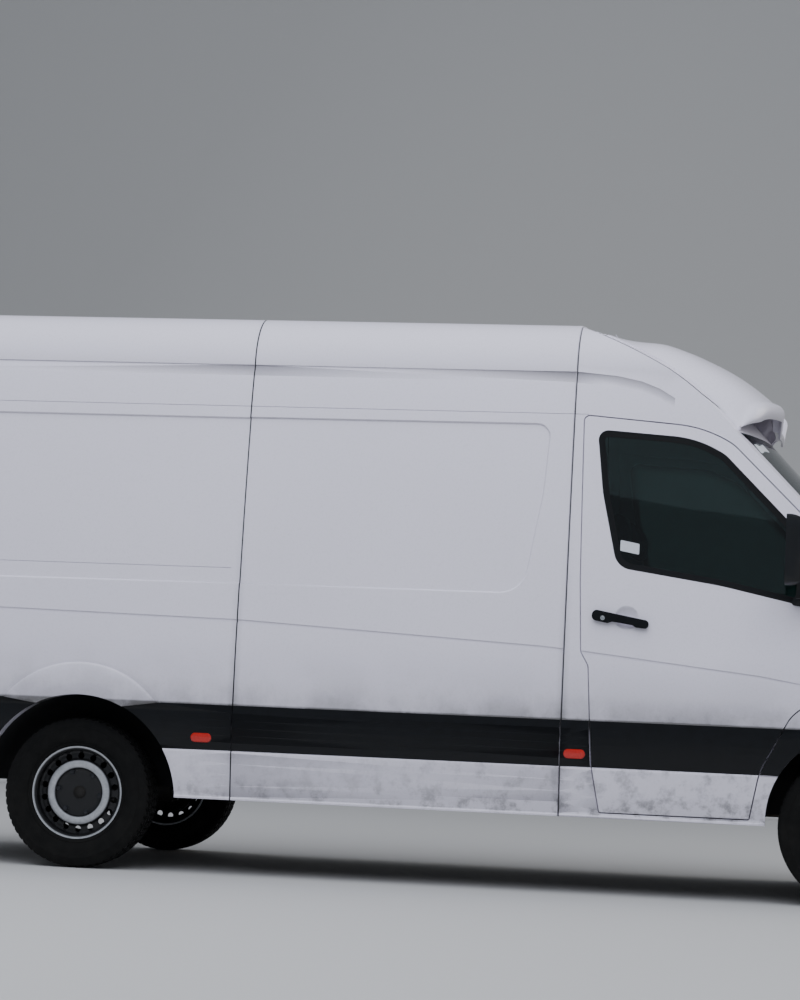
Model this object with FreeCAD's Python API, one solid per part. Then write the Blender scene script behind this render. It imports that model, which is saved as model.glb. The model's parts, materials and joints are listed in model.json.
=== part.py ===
import FreeCAD, Part
import math
import os

V = FreeCAD.Vector

# Panel van with a high roof, right-hand drive, sliding load door on the left.
# Millimetres. X runs forwards, Y to the left, Z up from the ground.
# X is drawn from a datum FRONT_AXLE_X behind the front axle and centred at the end.

# Overall sizes
WHEELBASE = 3665.0
FRONT_OVERHANG = 1004.0
REAR_OVERHANG = 1241.0
HALF_WIDTH = 992.0
GUTTER_Z = 2232.0
ROOF_RISE = 488.0
FRONT_AXLE_X = 1951.0

# Body walls and seams
WALL = 60.0
WING_WALL = 25.0
DOOR_SKIN = 20.0
DOOR_GAP = 6.0
DOOR_REBATE = 20.0
SEAM_WIDTH = 5.0
SEAM_DEPTH = 10.0
RECESS_DEPTH = 9.0
SWAGE_DEPTH = 5.0
STRIP_PROUD = 2.0
STRIP_CROWN = 6.0
STRIP_SUNK = 10.0
FLARE_PROUD = 16.0
CHAMFER = 7.0
GROOVE_WIDTH = 3.0
GROOVE_DEPTH = 4.0
SILL_PROUD = 4.0
SILL_LIP = 10.0
CUP_R = 57.0
CUP_DEPTH = 20.0
GLASS_THICK = 5.0
GLASS_INSET = 6.0

# Heights on the body side
LOW_Z = 215.0
SILL_Z = 355.0
STRIP_LOW_Z = 588.0
STRIP_HIGH_Z = 799.0
RECESS_LOW_Z = 1382.0
RECESS_HIGH_Z = 2174.0
WAIST_LINE_Z = 1450.0
CREASE_DROP = 55.0
FLOOR_Z = 680.0
FLOOR_THICK = 40.0
CAB_FLOOR_Z = 600.0

# Wheels
TYRE_R = 356.0
TYRE_WIDTH = 235.0
RIM_R = 206.0
FLANGE_RISE = 14.0
WHEEL_INSET = 137.0
HUB_R = 30.0
KINGPIN_INSET = 65.0
KINGPIN_R = 10.0
RUN_GAP = 0.3
FRONT_ARCH_R = 412.0
FRONT_ARCH_Z = 380.0
REAR_ARCH_R = 478.0
REAR_ARCH_Z = 345.0
LINER_THICK = 5.0

# Hinges
FRONT_HINGE_X = 1812.0
FRONT_HINGE_INSET = 34.0
FRONT_HINGE_ZS = (1080.0, 1260.0)
HINGE_PIN_R = 4.0
HINGE_BARREL_R = 11.0
HINGE_SWEEP_R = 33.0
HINGE_DEEP_R = 52.0
HINGE_CORNER_R = 42.0
HINGE_CORNER_Z = 945.0
REAR_HINGE_INSET = 126.0
REAR_HINGE_OUT = 18.0
REAR_HINGE_ZS = (780.0, 1480.0, 2130.0)
REAR_PIN_R = 6.0
BONNET_HINGE_X = 2260.0
BONNET_HINGE_Z = 1290.0
BONNET_HINGE_Y = 560.0
BONNET_PIN_R = 5.0

# Worked out from the sizes above
REAR_AXLE_X = FRONT_AXLE_X - WHEELBASE
NOSE_X = FRONT_AXLE_X + FRONT_OVERHANG
TAIL_X = REAR_AXLE_X - REAR_OVERHANG
STEP_DEPTH = 30.0
BODY_TAIL_X = TAIL_X + STEP_DEPTH
CENTRE_X = (NOSE_X + TAIL_X) / 2
ROOF_Z = GUTTER_Z + ROOF_RISE
SEAM_FRONT_X = 591.0
SEAM_REAR_X = REAR_AXLE_X + 752.0
WHEEL_Y = HALF_WIDTH - WHEEL_INSET
RIM_FLANGE_R = RIM_R + FLANGE_RISE
COWL_X = 2330.0
COWL_Z = 1305.0
HEADER_X = 1499.0
HEADER_Z = 2172.0
REVOLVE_X = -1000.0
NOSE_SWEEP = 80.0
FAIRING_WALL = 20.0
FAIRING_INSET = 6.0
FAR = 3400.0
FRONT_HINGE_Y = HALF_WIDTH - FRONT_HINGE_INSET
REAR_HINGE_Y = HALF_WIDTH - REAR_HINGE_INSET
REAR_HINGE_X = BODY_TAIL_X - REAR_HINGE_OUT
KINGPIN_Y = WHEEL_Y - KINGPIN_INSET

# Cross-section of the body, from the sill up to the crown of the roof.
# Columns: inset at the load body, inset at the nose, height, share of the roof rise,
# share of a wall taken sideways, share taken downwards.
SECTION_ROWS = (
    (52, 62, LOW_Z, 0, 1, 0),
    (34, 34, SILL_Z, 0, 1, 0),
    (8, 8, 600, 0, 1, 0),
    (0, 0, 800, 0, 1, 0),
    (2, 6, 970, 0, 1, 0),
    (8, 22, 1130, 0, 1, 0),
    (48, 92, 1690, 0, 1, 0),
    (110, 182, GUTTER_Z, 0, 1, 0),
    (128, 204, GUTTER_Z, 0.216, 1, 0),
    (149, 230, GUTTER_Z, 0.423, 1, 0),
    (204, 292, GUTTER_Z, 0.732, 0.7, 0.7),
    (352, 442, GUTTER_Z, 0.922, 0.1, 1),
    (HALF_WIDTH, HALF_WIDTH, GUTTER_Z, 1, 0, 1),
)

# Swage along the body side. Columns: x, height, half width of the groove.
SWAGE_ROWS = (
    (BODY_TAIL_X - 20, 1232, 8), (SEAM_REAR_X, 1200, 8), (483, 1130, 8), (674, 1115, 8), (1497, 1031, 6),
    (1720, 1000, 1),
)
HANDLE_PROUD = 22.0

# Crease along the shoulder of the roof. Columns: x, height, depth.
CREASE_ROWS = (
    (BODY_TAIL_X - 20, 2438, 6), (SEAM_FRONT_X, 2437, 6), (781, 2421, 5), (900, 2397, 4), (984, 2365, 3),
    (1057, 2321, 1),
)
# Bar handle of a side door, as corners: along, up, corner radius.
HANDLE_CORNERS = (
    (-132, -25, 22), (-56, -27, 8), (-36, -16, 8), (60, -16, 8), (76, -23, 6), (132, -20, 17),
    (132, 18, 17), (-132, 25, 22),
)
# Flare round the rear arch. Columns: radius, height over the side.
FLARE_ROWS = ((480, -8), (480, 5), (470, 9), (380, FLARE_PROUD), (250, FLARE_PROUD + 1), (250, -8))
COVE_ROWS = ((514, 2), (484, -4), (470, -4), (470, 4))
FLARE_CENTRE_UP = 152.0
RAIL_DEPTH = 14.0
ROOF_RIB_PITCH = 520
ROOF_RIB_DEPTH = 6.0

# Rear end
REAR_PILLAR = 142.0
REAR_DOOR_HALF = HALF_WIDTH - REAR_PILLAR
REAR_DOOR_LOW_Z = 640.0
LAMP_WIDTH = 120.0
LAMP_INNER_Y = HALF_WIDTH - LAMP_WIDTH
LAMP_LOW_Z = 880.0
LAMP_HIGH_Z = 1290.0
LAMP_DEPTH = 45.0
BUMPER_REAR_LOW_Z = 375.0
BUMPER_REAR_HIGH_Z = 550.0

# Front end
WING_TOP_Z = 1345.0
BUMPER_TOP_Z = 735.0
BONNET_EDGE_Z = 1050.0
LAMP_INBOARD_Y = 470.0
HEADLAMP_CORNERS = (
    (3050, 745, 0), (2720, 745, 30), (2600, 880, 60), (2515, 1020, 20), (2560, 1044, 20), (3050, 1044, 0),
)
COWL_FRONT_R = COWL_X - REVOLVE_X + 70
COWL_TOP_Z = COWL_Z + 25
COWL_INSET = 94.0
COWL_HALF = HALF_WIDTH - COWL_INSET
GLASS_LOW_INSET = 87.0
GLASS_LOW_HALF = HALF_WIDTH - GLASS_LOW_INSET
GLASS_HIGH_INSET = 192.0
GLASS_HIGH_HALF = HALF_WIDTH - GLASS_HIGH_INSET
CAP_CORNER_X = 1361.0
GRILLE_SLOTS = 5
GRILLE_PITCH = 48.0
GRILLE_SLOT = 26.0
MIRROR_X = 1600.0
MIRROR_REACH = 216.0
MIRROR_CLEAR = 30.0
SAIL_THICK = 8.0

# Floors and cab
FLOOR_RIB_DEPTH = 6.0
HOUSING_Y = 690.0
BULKHEAD_X = 545.0
BULKHEAD_THICK = 30.0
FLOOR_INSET = 92.0
FLOOR_HALF = HALF_WIDTH - FLOOR_INSET
TUNNEL_HALF = 525.0
TOE_X = 1960.0
DASH_INSET = 120.0
DASH_HALF = HALF_WIDTH - DASH_INSET
COWL_THICK = 14.0
SHELF_X = 2195.0
DRIVER_Y = -470.0
BENCH_Y = 330.0
CUSHION_Z = 880.0
SOFT_GAP = 0.3
STEERING_X = 1440.0
STEERING_Z = 1235.0
STEERING_R = 195.0
STEERING_GRIP_R = 16.0
STEERING_SHAFT = 175.0
STEERING_SHAFT_R = 18.0
STEERING_TILT = 40.0

# Chassis
RAIL_INNER_Y = 440.0
RAIL_OUTER_Y = 515.0
RAIL_WEB = 8.0
RAIL_BOLT_Y = 475.0
TOW_BOLT_R = 8.5
TOW_BOLT_XS = (BODY_TAIL_X + 120, BODY_TAIL_X + 240)
# Cross-members of the chassis. Columns: x, bottom, top.
CROSS_MEMBERS = (
    (BODY_TAIL_X + 180, 530, 630), (REAR_AXLE_X - 186, 560, 632), (REAR_AXLE_X + 420, 540, 632),
    (-300, 530, 632),
    (400, 530, 632), (2640, 450, 550),
)
CROSS_HALF = 30.0
RAIL_FRONT_X = 2680.0
AXLE_TUBE_R = 45.0
DIFF_R = 140.0
SPRING_Y = 478.0
KNUCKLE_HALF = 110.0
PIPE_R = 28.0

# Wheel disc and barrel. Columns: radius, offset outwards from the wheel's middle.
RIM_PROFILE = (
    (RIM_FLANGE_R, -89), (RIM_FLANGE_R, -83), (RIM_R, -80), (RIM_R, -62), (RIM_R - 22, -40), (RIM_R - 22, -10),
    (RIM_R, 14), (RIM_R, 80), (RIM_FLANGE_R, 83), (RIM_FLANGE_R, 89), (RIM_FLANGE_R - 7, 89), (RIM_R - 6, 76),
    (RIM_R - 7, 38), (157, 44), (151, 62), (119, 62), (110, 44), (HUB_R + RUN_GAP, 42), (HUB_R + RUN_GAP, 30),
    (114, 32), (122, 50), (150, 50), (160, 32), (RIM_R - 7, 26), (RIM_R - 28, -8), (RIM_R - 28, -42),
    (RIM_R - 6, -66), (RIM_R - 6, -76), (RIM_FLANGE_R - 7, -89),
)
VENT_COUNT = 18
VENT_CIRCLE_R = 174.0
VENT_R = 15.0

# Side-view outlines as corners: x, z, corner radius.
DOOR_CORNERS = (
    (641, 2226, 25), (1190, 2184, 560), (1335, 2108, 200), (1830, 1622, 50), (1830, 1015, 120),
    (1640, 858, 150), (1505, 600, 300), (1464, 383, 8), (782, 383, 8), (740, 600, 200),
    (711, 1055, 40), (674, 1118, 40), (658, 1449, 300),
)
WINDOW_CORNERS = (
    (704, 2162, 45), (1165, 2133, 500), (1302, 2060, 150), (1790, 1570, 30), (1790, 1342, 40),
    (1300, 1445, 1500), (822, 1514, 90), (742, 1860, 600),
)


def line(a, b):
    return Part.LineSegment(V(*a), V(*b)).toShape()


def arc(a, b, c):
    return Part.Arc(V(*a), V(*b), V(*c)).toShape()


def rounded_wire(corners, place):
    """Closed outline through corners (u, v, radius); place(u, v) gives the point in space."""
    count = len(corners)
    ends = []
    for i in range(count):
        u, v, radius = corners[i]
        pu, pv = corners[i - 1][:2]
        nu, nv = corners[(i + 1) % count][:2]
        before = math.hypot(pu - u, pv - v)
        after = math.hypot(nu - u, nv - v)
        au, av = (pu - u) / before, (pv - v) / before
        bu, bv = (nu - u) / after, (nv - v) / after
        half = math.acos(max(-1.0, min(1.0, au * bu + av * bv))) / 2
        reach = radius / math.tan(half)
        bis = math.hypot(au + bu, av + bv)
        if radius == 0 or bis == 0:
            ends.append(((u, v), None, (u, v)))
            continue
        depth = radius / math.sin(half) - radius
        mid = (u + (au + bu) / bis * depth, v + (av + bv) / bis * depth)
        ends.append(((u + au * reach, v + av * reach), mid, (u + bu * reach, v + bv * reach)))
    edges = []
    for i in range(count):
        start, mid, end = ends[i]
        if mid is not None:
            edges.append(arc(place(*start), place(*mid), place(*end)))
        edges.append(line(place(*end), place(*ends[(i + 1) % count][0])))
    return Part.Wire(edges)


def in_side(x, z):
    return (x, 0, z)


def in_front(y, z):
    return (0, y, z)


def in_plan(x, y):
    return (x, y, 0)


def side_prism(corners, y_from=-1300.0, y_to=-300.0, grow=0.0):
    """Side-view outline, grown or shrunk all round, drawn out across the van."""
    face = Part.Face(rounded_wire(corners, in_side))
    if grow:
        face = face.makeOffset2D(grow)
    face.translate(V(0, y_from, 0))
    return face.extrude(V(0, y_to - y_from, 0))


def front_prism(corners, x_from, x_to):
    face = Part.Face(rounded_wire(corners, in_front))
    face.translate(V(x_from, 0, 0))
    return face.extrude(V(x_to - x_from, 0, 0))


def plan_prism(corners, z_from, z_to):
    face = Part.Face(rounded_wire(corners, in_plan))
    face.translate(V(0, 0, z_from))
    return face.extrude(V(0, 0, z_to - z_from))


def box(xa, xb, ya, yb, za, zb):
    """Upright block between two opposite corners, in any order."""
    low = V(min(xa, xb), min(ya, yb), min(za, zb))
    return Part.makeBox(abs(xb - xa), abs(yb - ya), abs(zb - za), low)


def rod(start, end, radius):
    a = V(*start)
    b = V(*end)
    return Part.makeCylinder(radius, (b - a).Length, a, b - a)


def tube(start, end, outer, inner):
    return rod(start, end, outer).cut(rod(start, end, inner))


def mirrored(shape):
    return shape.mirror(V(0, 0, 0), V(0, 1, 0))


def moved(shape, x=0.0, y=0.0, z=0.0):
    copy = shape.copy()
    copy.translate(V(x, y, z))
    return copy


def union(shapes):
    return shapes[0].fuse(shapes[1:]) if len(shapes) > 1 else shapes[0]


def largest(shape):
    """The biggest solid of a shape, without slivers left along its curved edges."""
    return max(shape.Solids, key=lambda solid: solid.Volume)


def save(node, shapes):
    """Write one sub-part; its solids are centred on the van's length."""
    if not isinstance(shapes, list):
        shapes = [shapes]
    solids = []
    for shape in shapes:
        clean = shape.removeSplitter()
        solids.extend(clean.Solids)
    result = solids[0] if len(solids) == 1 else Part.makeCompound(solids)
    result = moved(result, x=-CENTRE_X)
    result.exportStep("parts/" + node + ".step")
    state = "" if result.isValid() else "NOT VALID"
    print(node, len(solids), round(sum(s.Volume for s in solids) / 1e6, 2), state)


# The smooth outer form of the van, and copies of it sunk by a wall

def section_points(wall, nose_share):
    """Half width and height of each corner of the cross-section."""
    points = []
    for inset, nose_inset, height, rise, sideways, down in SECTION_ROWS:
        half = HALF_WIDTH - inset - (nose_inset - inset) * nose_share
        z = height + rise * ROOF_RISE
        points.append((half - wall * sideways, z - wall * down))
    return points


def half_width(x, z):
    """Half width of the outer form at a station and a height, from the arcs of its section."""
    share = min(1.0, max(0.0, (x - SEAM_FRONT_X) / (COWL_X - SEAM_FRONT_X)))
    points = section_points(0, share)
    i = 1
    while i < 9 and z > points[i + 2][1]:
        i += 2
    curve = Part.Arc(*[V(w, h, 0) for w, h in points[i:i + 3]])
    level = Part.LineSegment(V(0, z, 0), V(2 * HALF_WIDTH, z, 0))
    return max(point.X for point in curve.toShape().Curve.intersectCC(level))


def section_wire(x, wall, nose_share):
    points = section_points(wall, nose_share)
    right = [(x, -w, z) for w, z in points]
    left = [(x, w, z) for w, z in points]
    edges = [line(left[0], right[0]), line(right[0], right[1])]
    for i in range(1, 11, 2):
        edges.append(arc(right[i], right[i + 1], right[i + 2]))
    edges.append(arc(right[11], right[12], left[11]))
    for i in range(11, 1, -2):
        edges.append(arc(left[i], left[i - 1], left[i - 2]))
    edges.append(line(left[1], left[0]))
    return Part.Wire(edges)


def load_body(wall, x0=BODY_TAIL_X, x1=SEAM_FRONT_X):
    return Part.Face(section_wire(x0, wall, 0)).extrude(V(x1 - x0, 0, 0))


def nose_rows():
    """Centre-line profile from the bumper's lower lip over bonnet, windscreen and cap."""
    return [
        ("to", NOSE_X - 105, LOW_Z), ("via", NOSE_X - 28, 330), ("to", NOSE_X, 500),
        ("line", NOSE_X - 15, 680),
        ("via", NOSE_X - 43, 860), ("to", NOSE_X - 103, 1010),
        ("via", NOSE_X - 131, 1052), ("to", NOSE_X - 178, 1080),
        ("via", (NOSE_X - 178 + COWL_X) / 2 + 8, 1205), ("to", COWL_X, COWL_Z),
        ("line", HEADER_X, HEADER_Z),
        ("via", 1350, GUTTER_Z + 0.197 * ROOF_RISE), ("to", 1171, GUTTER_Z + 0.484 * ROOF_RISE),
        ("via", 900, GUTTER_Z + 0.768 * ROOF_RISE), ("to", SEAM_FRONT_X - 40, ROOF_Z + 1),
    ]


def fairing_rows():
    """Profile of the fairing on the cap, from its lip above the windscreen up and back to its rear edge."""
    return [
        ("to", 1498, GUTTER_Z + 0.037 * ROOF_RISE), ("line", 1538, GUTTER_Z + 0.074 * ROOF_RISE),
        ("via", 1556, GUTTER_Z + 0.176 * ROOF_RISE), ("to", 1505, GUTTER_Z + 0.279 * ROOF_RISE),
        ("via", 1400, GUTTER_Z + 0.451 * ROOF_RISE), ("to", 1241, GUTTER_Z + 0.641 * ROOF_RISE),
        ("via", 950, GUTTER_Z + 0.857 * ROOF_RISE), ("to", 660, GUTTER_Z + 0.963 * ROOF_RISE),
    ]


def sunk_profile(rows, wall):
    """Points and edges of a profile of lines and arcs, moved inwards by a wall along its own normal."""
    points = []
    for i, (kind, x, z) in enumerate(rows):
        before = rows[max(i - 1, 0)]
        after = rows[min(i + 1, len(rows) - 1)]
        run = after[1] - before[1]
        rise = after[2] - before[2]
        length = math.hypot(run, rise)
        points.append((x - wall * rise / length, 0, z + wall * run / length))
    edges = []
    for i in range(1, len(rows)):
        if rows[i][0] == "line":
            edges.append(line(points[i - 1], points[i]))
        elif rows[i][0] == "to":
            edges.append(arc(points[i - 2], points[i - 1], points[i]))
    return points, edges


def nose_solid(wall):
    """The nose profile, sunk by a wall along its own normal, spun about an upright axis."""
    points, edges = sunk_profile(nose_rows(), wall)
    high = ROOF_Z + 300
    low = LOW_Z - 200
    frame = [points[-1], (points[-1][0], 0, high), (REVOLVE_X, 0, high), (REVOLVE_X, 0, low)]
    frame += [(points[0][0], 0, low), points[0]]
    edges += [line(frame[i], frame[i + 1]) for i in range(len(frame) - 1)]
    face = Part.Face(Part.Wire(edges))
    face.rotate(V(REVOLVE_X, 0, 0), V(0, 0, 1), -NOSE_SWEEP / 2)
    return face.revolve(V(REVOLVE_X, 0, 0), V(0, 0, 1), NOSE_SWEEP)


def plan_solid(wall):
    """Plan outline of the cab, with the rounded corners of the nose."""
    side = HALF_WIDTH + 40 - wall
    front = NOSE_X + 60 - wall
    corners = (
        (SEAM_FRONT_X - 5, -side, 0),
        (2250, -side, 900),
        (2790, -(HALF_WIDTH - 170) + wall * 0.6, 160),
        (front - 90, -(HALF_WIDTH - 420), 300),
        (front, 0, 0),
        (front - 90, HALF_WIDTH - 420, 300),
        (2790, HALF_WIDTH - 170 - wall * 0.6, 160),
        (2250, side, 900),
        (SEAM_FRONT_X - 5, side, 0),
    )
    return plan_prism(corners, LOW_Z - 50, ROOF_Z + 100)


CAB_CACHE = {}


def cab_sides(wall):
    """The leaning sides and roof of the cab, drawn out past the nose."""
    sections = [section_wire(SEAM_FRONT_X, wall, 0), section_wire(COWL_X, wall, 1), section_wire(FAR, wall, 1)]
    return Part.makeLoft(sections, True, True)


def cab_body(wall):
    if wall not in CAB_CACHE:
        CAB_CACHE[wall] = cab_sides(wall).common(nose_solid(wall)).common(plan_solid(wall))
    return CAB_CACHE[wall]


CAB_LAYERS = {}


def cab_layer(outer, inner):
    """Right half of the cab's wall between two depths under its outer surface."""
    key = (outer, inner)
    if key not in CAB_LAYERS:
        right = box(SEAM_FRONT_X, NOSE_X + 100, -1300, 0, 0, ROOF_Z + 100)
        CAB_LAYERS[key] = cab_body(outer).common(right).cut(cab_body(inner))
    return CAB_LAYERS[key]


def load_layer(x0, x1, z0, z1, outer, inner):
    """Right half of the load body's wall between two stations, heights and depths."""
    ring = load_body(outer, x0, x1).cut(load_body(inner, x0 - 1, x1 + 1))
    return ring.common(box(x0, x1, -1300, 0, z0, z1))


def arch_hole(x, z, radius, y_from=-1300.0, y_to=-520.0):
    return rod((x, y_from, z), (x, y_to, z), radius)


# Grooves and pressings of the outer skin

def seam_groove(x):
    slab = box(x - SEAM_WIDTH / 2, x + SEAM_WIDTH / 2, -1300, 0, 0, ROOF_Z + 100)
    return slab.cut(load_body(SEAM_DEPTH, x - 10, x + 10))


def swage_band():
    """Long crease of the body side, a tapering band that falls towards the front."""
    upper = [(x, z + half) for x, z, half in SWAGE_ROWS]
    lower = [(x, z - half) for x, z, half in reversed(SWAGE_ROWS)]
    return side_prism([(x, z, 0) for x, z in upper + lower])


def load_recess(corners):
    return side_prism(corners).cut(load_body(RECESS_DEPTH))


def chamfered(panel, corners):
    """Panel whose recess, given by its outline, gets a sloping edge all round."""
    probe = side_prism(corners, -1300, -300, -1).cut(load_body(1))
    rims = []
    for edge in panel.Edges:
        middle = edge.valueAt((edge.FirstParameter + edge.LastParameter) / 2)
        outer = half_width(middle.x, middle.z) + middle.y
        if abs(outer) < 0.5 and probe.distToShape(Part.Vertex(middle))[0] < 1.6:
            rims.append(edge)
    return panel.makeChamfer(CHAMFER, rims)


def gutter_groove(x0, x1, body):
    """Fine joint between the side and the roof."""
    half = GROOVE_WIDTH / 2
    return box(x0, x1, -1300, -700, GUTTER_Z - half, GUTTER_Z + half).cut(body)


def crease_cut():
    """Wedge along the shoulder: deepest at its upper edge, running out below and towards the front."""
    wires = []
    for x, z, depth in CREASE_ROWS:
        low = z - CREASE_DROP
        top_y = -half_width(x, z)
        low_y = -half_width(x, low)
        corners = [(x, top_y + depth, z), (x, top_y - 9, z), (x, low_y - 9, low), (x, low_y - 0.2, low)]
        wires.append(Part.makePolygon([V(*point) for point in corners + corners[:1]]))
    return Part.makeLoft(wires, True, True)


def strip_bar(x0, x1):
    """Crowned rub strip along the right side."""
    inner = -HALF_WIDTH + STRIP_SUNK
    ends = [(x0, -half_width(x0, z) - STRIP_PROUD, z) for z in (STRIP_LOW_Z, STRIP_HIGH_Z)]
    middle = (STRIP_LOW_Z + STRIP_HIGH_Z) / 2
    crown = (x0, -half_width(x0, middle) - STRIP_PROUD - STRIP_CROWN, middle)
    low = (x0, inner, STRIP_LOW_Z)
    high = (x0, inner, STRIP_HIGH_Z)
    wire = Part.Wire([line(low, ends[0]), arc(ends[0], crown, ends[1]), line(ends[1], high), line(high, low)])
    return Part.Face(wire).extrude(V(x1 - x0, 0, 0))


def sill_bar(x0, x1):
    """Cladding of the sill along the right side, with a lip at its foot."""
    inner = -HALF_WIDTH + 44
    top = STRIP_LOW_Z - GROOVE_WIDTH
    rows = ((top, 0.5), (top - 9, SILL_PROUD), (SILL_Z + 16, SILL_PROUD), (SILL_Z + 8, SILL_LIP),
            (SILL_Z + 1, SILL_LIP))
    outer = [(x0, -half_width(x0, z) - proud, z) for z, proud in rows]
    middle = (top + SILL_Z) / 2
    bulge = (x0, -half_width(x0, middle) - SILL_PROUD - 1, middle)
    root = (x0, -half_width(x0, top) + STRIP_SUNK, top)
    foot = (x0, inner, rows[-1][0])
    edges = [line(root, outer[0]), line(outer[0], outer[1]), arc(outer[1], bulge, outer[2]),
             line(outer[2], outer[3]), line(outer[3], outer[4]), line(outer[4], foot), line(foot, root)]
    return Part.Face(Part.Wire(edges)).extrude(V(x1 - x0, 0, 0))


def ring_about(rows, x, z):
    """Band of (radius, height over the side) pairs spun about a cross axis on the right side."""
    points = [V(x, -HALF_WIDTH - out, z + radius) for radius, out in rows]
    return Part.Face(Part.makePolygon(points + points[:1])).revolve(V(x, 0, z), V(0, 1, 0), 360)


def handle_plate(x, z, tilt):
    """Bar handle of a side door, in side view."""
    bar = side_prism(HANDLE_CORNERS, -1100, -300)
    bar.rotate(V(0, 0, 0), V(0, 1, 0), tilt)
    return moved(bar, x=x, z=z)


# Load body

def side_panel():
    panel = load_layer(SEAM_REAR_X, SEAM_FRONT_X, SILL_Z, GUTTER_Z, 0, WALL)
    corners = ((SEAM_REAR_X - 60, RECESS_HIGH_Z, 0), (482, RECESS_HIGH_Z + 4, 60), (462, 1860, 900),
               (385, RECESS_LOW_Z, 130), (SEAM_REAR_X - 60, RECESS_LOW_Z, 0))
    panel = chamfered(panel.cut(load_recess(corners)), corners)
    swage = swage_band().cut(load_body(SWAGE_DEPTH))
    panel = panel.fuse([strip_bar(SEAM_REAR_X, SEAM_FRONT_X), sill_bar(SEAM_REAR_X, SEAM_FRONT_X)]).cut(swage)
    panel = panel.cut(gutter_groove(SEAM_REAR_X - 1, SEAM_FRONT_X + 1, load_body(GROOVE_DEPTH)))
    return panel.cut(seam_groove(SEAM_REAR_X)).cut(seam_groove(SEAM_FRONT_X))


def sliding_door():
    """Left load door: the same pressing as the fixed panel, with its handle and window-less skin."""
    door = side_panel()
    handle = handle_plate(SEAM_FRONT_X - 190, 1270, 0)
    handle = handle.common(load_layer(SEAM_FRONT_X - 400, SEAM_FRONT_X, 1200, 1340, -HANDLE_PROUD, 0))
    return mirrored(door.fuse(handle))


def rear_opening(grow):
    high = ROOF_Z - 154 + grow
    edge = REAR_DOOR_HALF + grow
    low = REAR_DOOR_LOW_Z - grow
    return ((-edge, low, 40), (-edge, 1500, 800), (-edge + 58, 2300, 300), (-edge + 110, high, 130),
            (edge - 110, high, 130), (edge - 58, 2300, 300), (edge, 1500, 800), (edge, low, 40))


def tail_slab(z0, z1):
    """End frame of the body round the rear door opening."""
    slab = load_body(0, BODY_TAIL_X, BODY_TAIL_X + WALL).common(box(TAIL_X, 0, -1300, 1300, z0, z1))
    return slab.cut(front_prism(rear_opening(DOOR_GAP), TAIL_X, BODY_TAIL_X + WALL + 10))


def lamp_box():
    return box(TAIL_X, BODY_TAIL_X + LAMP_DEPTH, -1300, -LAMP_INNER_Y, LAMP_LOW_Z, LAMP_HIGH_Z)


def rear_hinge_fixed(z):
    """Bracket on the rear pillar with its upright pin."""
    x = REAR_HINGE_X
    y = -REAR_HINGE_Y
    parts = [rod((x, y, z - 34), (x, y, z + 34), REAR_PIN_R)]
    for low in (z - 34, z + 26):
        parts.append(box(x - 10, BODY_TAIL_X + 4, y - 40, y + 8, low, low + 8))
    return union(parts)


def rear_hinge_moving(z, reach):
    x = REAR_HINGE_X
    y = -REAR_HINGE_Y
    knuckle = rod((x, y, z - 24), (x, y, z + 24), 10)
    arm = box(x - 10, BODY_TAIL_X, y, y + reach, z - 24, z + 24)
    return knuckle.fuse(arm).cut(rod((x, y, z - 30), (x, y, z + 30), REAR_PIN_R + RUN_GAP))


def rear_flare():
    """White flare over the rear arch, with a shallow cove round it; its foot dips over the strip."""
    x = REAR_AXLE_X + 3
    z = REAR_ARCH_Z + FLARE_CENTRE_UP
    low = STRIP_HIGH_Z - 25
    foot = STRIP_HIGH_Z + 5
    region = side_prism(((x - 386, STRIP_HIGH_Z, 0), (x - 214, low, 0), (x + 215, low, 0), (x + 387, STRIP_HIGH_Z, 0),
                         (x + 520, foot, 0), (x + 520, 1010, 0), (x - 520, 1010, 0), (x - 520, foot, 0)))
    return ring_about(FLARE_ROWS, x, z).common(region), ring_about(COVE_ROWS, x, z).common(region)


def rear_quarter(rail):
    quarter = load_layer(BODY_TAIL_X, SEAM_REAR_X, SILL_Z, GUTTER_Z, 0, WALL)
    flare, cove = rear_flare()
    pillar = tail_slab(SILL_Z, GUTTER_Z).common(box(TAIL_X, 0, -1300, -500, 0, GUTTER_Z))
    pillar = pillar.cut(box(TAIL_X, 0, -REAR_DOOR_HALF, 0, 0, REAR_DOOR_LOW_Z))
    bumper_zone = box(TAIL_X, BODY_TAIL_X + 262, -1300, 0, 0, BUMPER_REAR_HIGH_Z + 2)
    corners = ((BODY_TAIL_X + 220, RECESS_HIGH_Z - 2, 80), (SEAM_REAR_X + 60, RECESS_HIGH_Z - 2, 0),
               (SEAM_REAR_X + 60, RECESS_LOW_Z, 0), (BODY_TAIL_X + 220, RECESS_LOW_Z - 6, 100))
    quarter = chamfered(quarter.cut(load_recess(corners)), corners)
    swage = swage_band().cut(load_body(SWAGE_DEPTH))
    waist = box(BODY_TAIL_X + 300, SEAM_REAR_X - 48, -1300, -700, WAIST_LINE_Z, WAIST_LINE_Z + GROOVE_WIDTH)
    waist = waist.cut(load_body(RECESS_DEPTH + GROOVE_DEPTH))
    bars = [strip_bar(BODY_TAIL_X, SEAM_REAR_X), sill_bar(BODY_TAIL_X, SEAM_REAR_X)]
    quarter = quarter.cut([cove, waist, swage]).fuse(bars + [flare, pillar])
    quarter = quarter.cut(gutter_groove(TAIL_X, SEAM_REAR_X + 1, load_body(GROOVE_DEPTH)))
    quarter = quarter.cut(arch_hole(REAR_AXLE_X + 4, REAR_ARCH_Z, REAR_ARCH_R))
    quarter = quarter.cut(seam_groove(SEAM_REAR_X)).cut(lamp_box()).cut(bumper_zone)
    if rail:
        slot = box(BODY_TAIL_X + 120, SEAM_REAR_X - 20, -1300, -300, 1352, 1374)
        quarter = quarter.cut(slot.cut(load_body(RAIL_DEPTH)))
    return quarter.fuse([rear_hinge_fixed(z) for z in REAR_HINGE_ZS])


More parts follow.
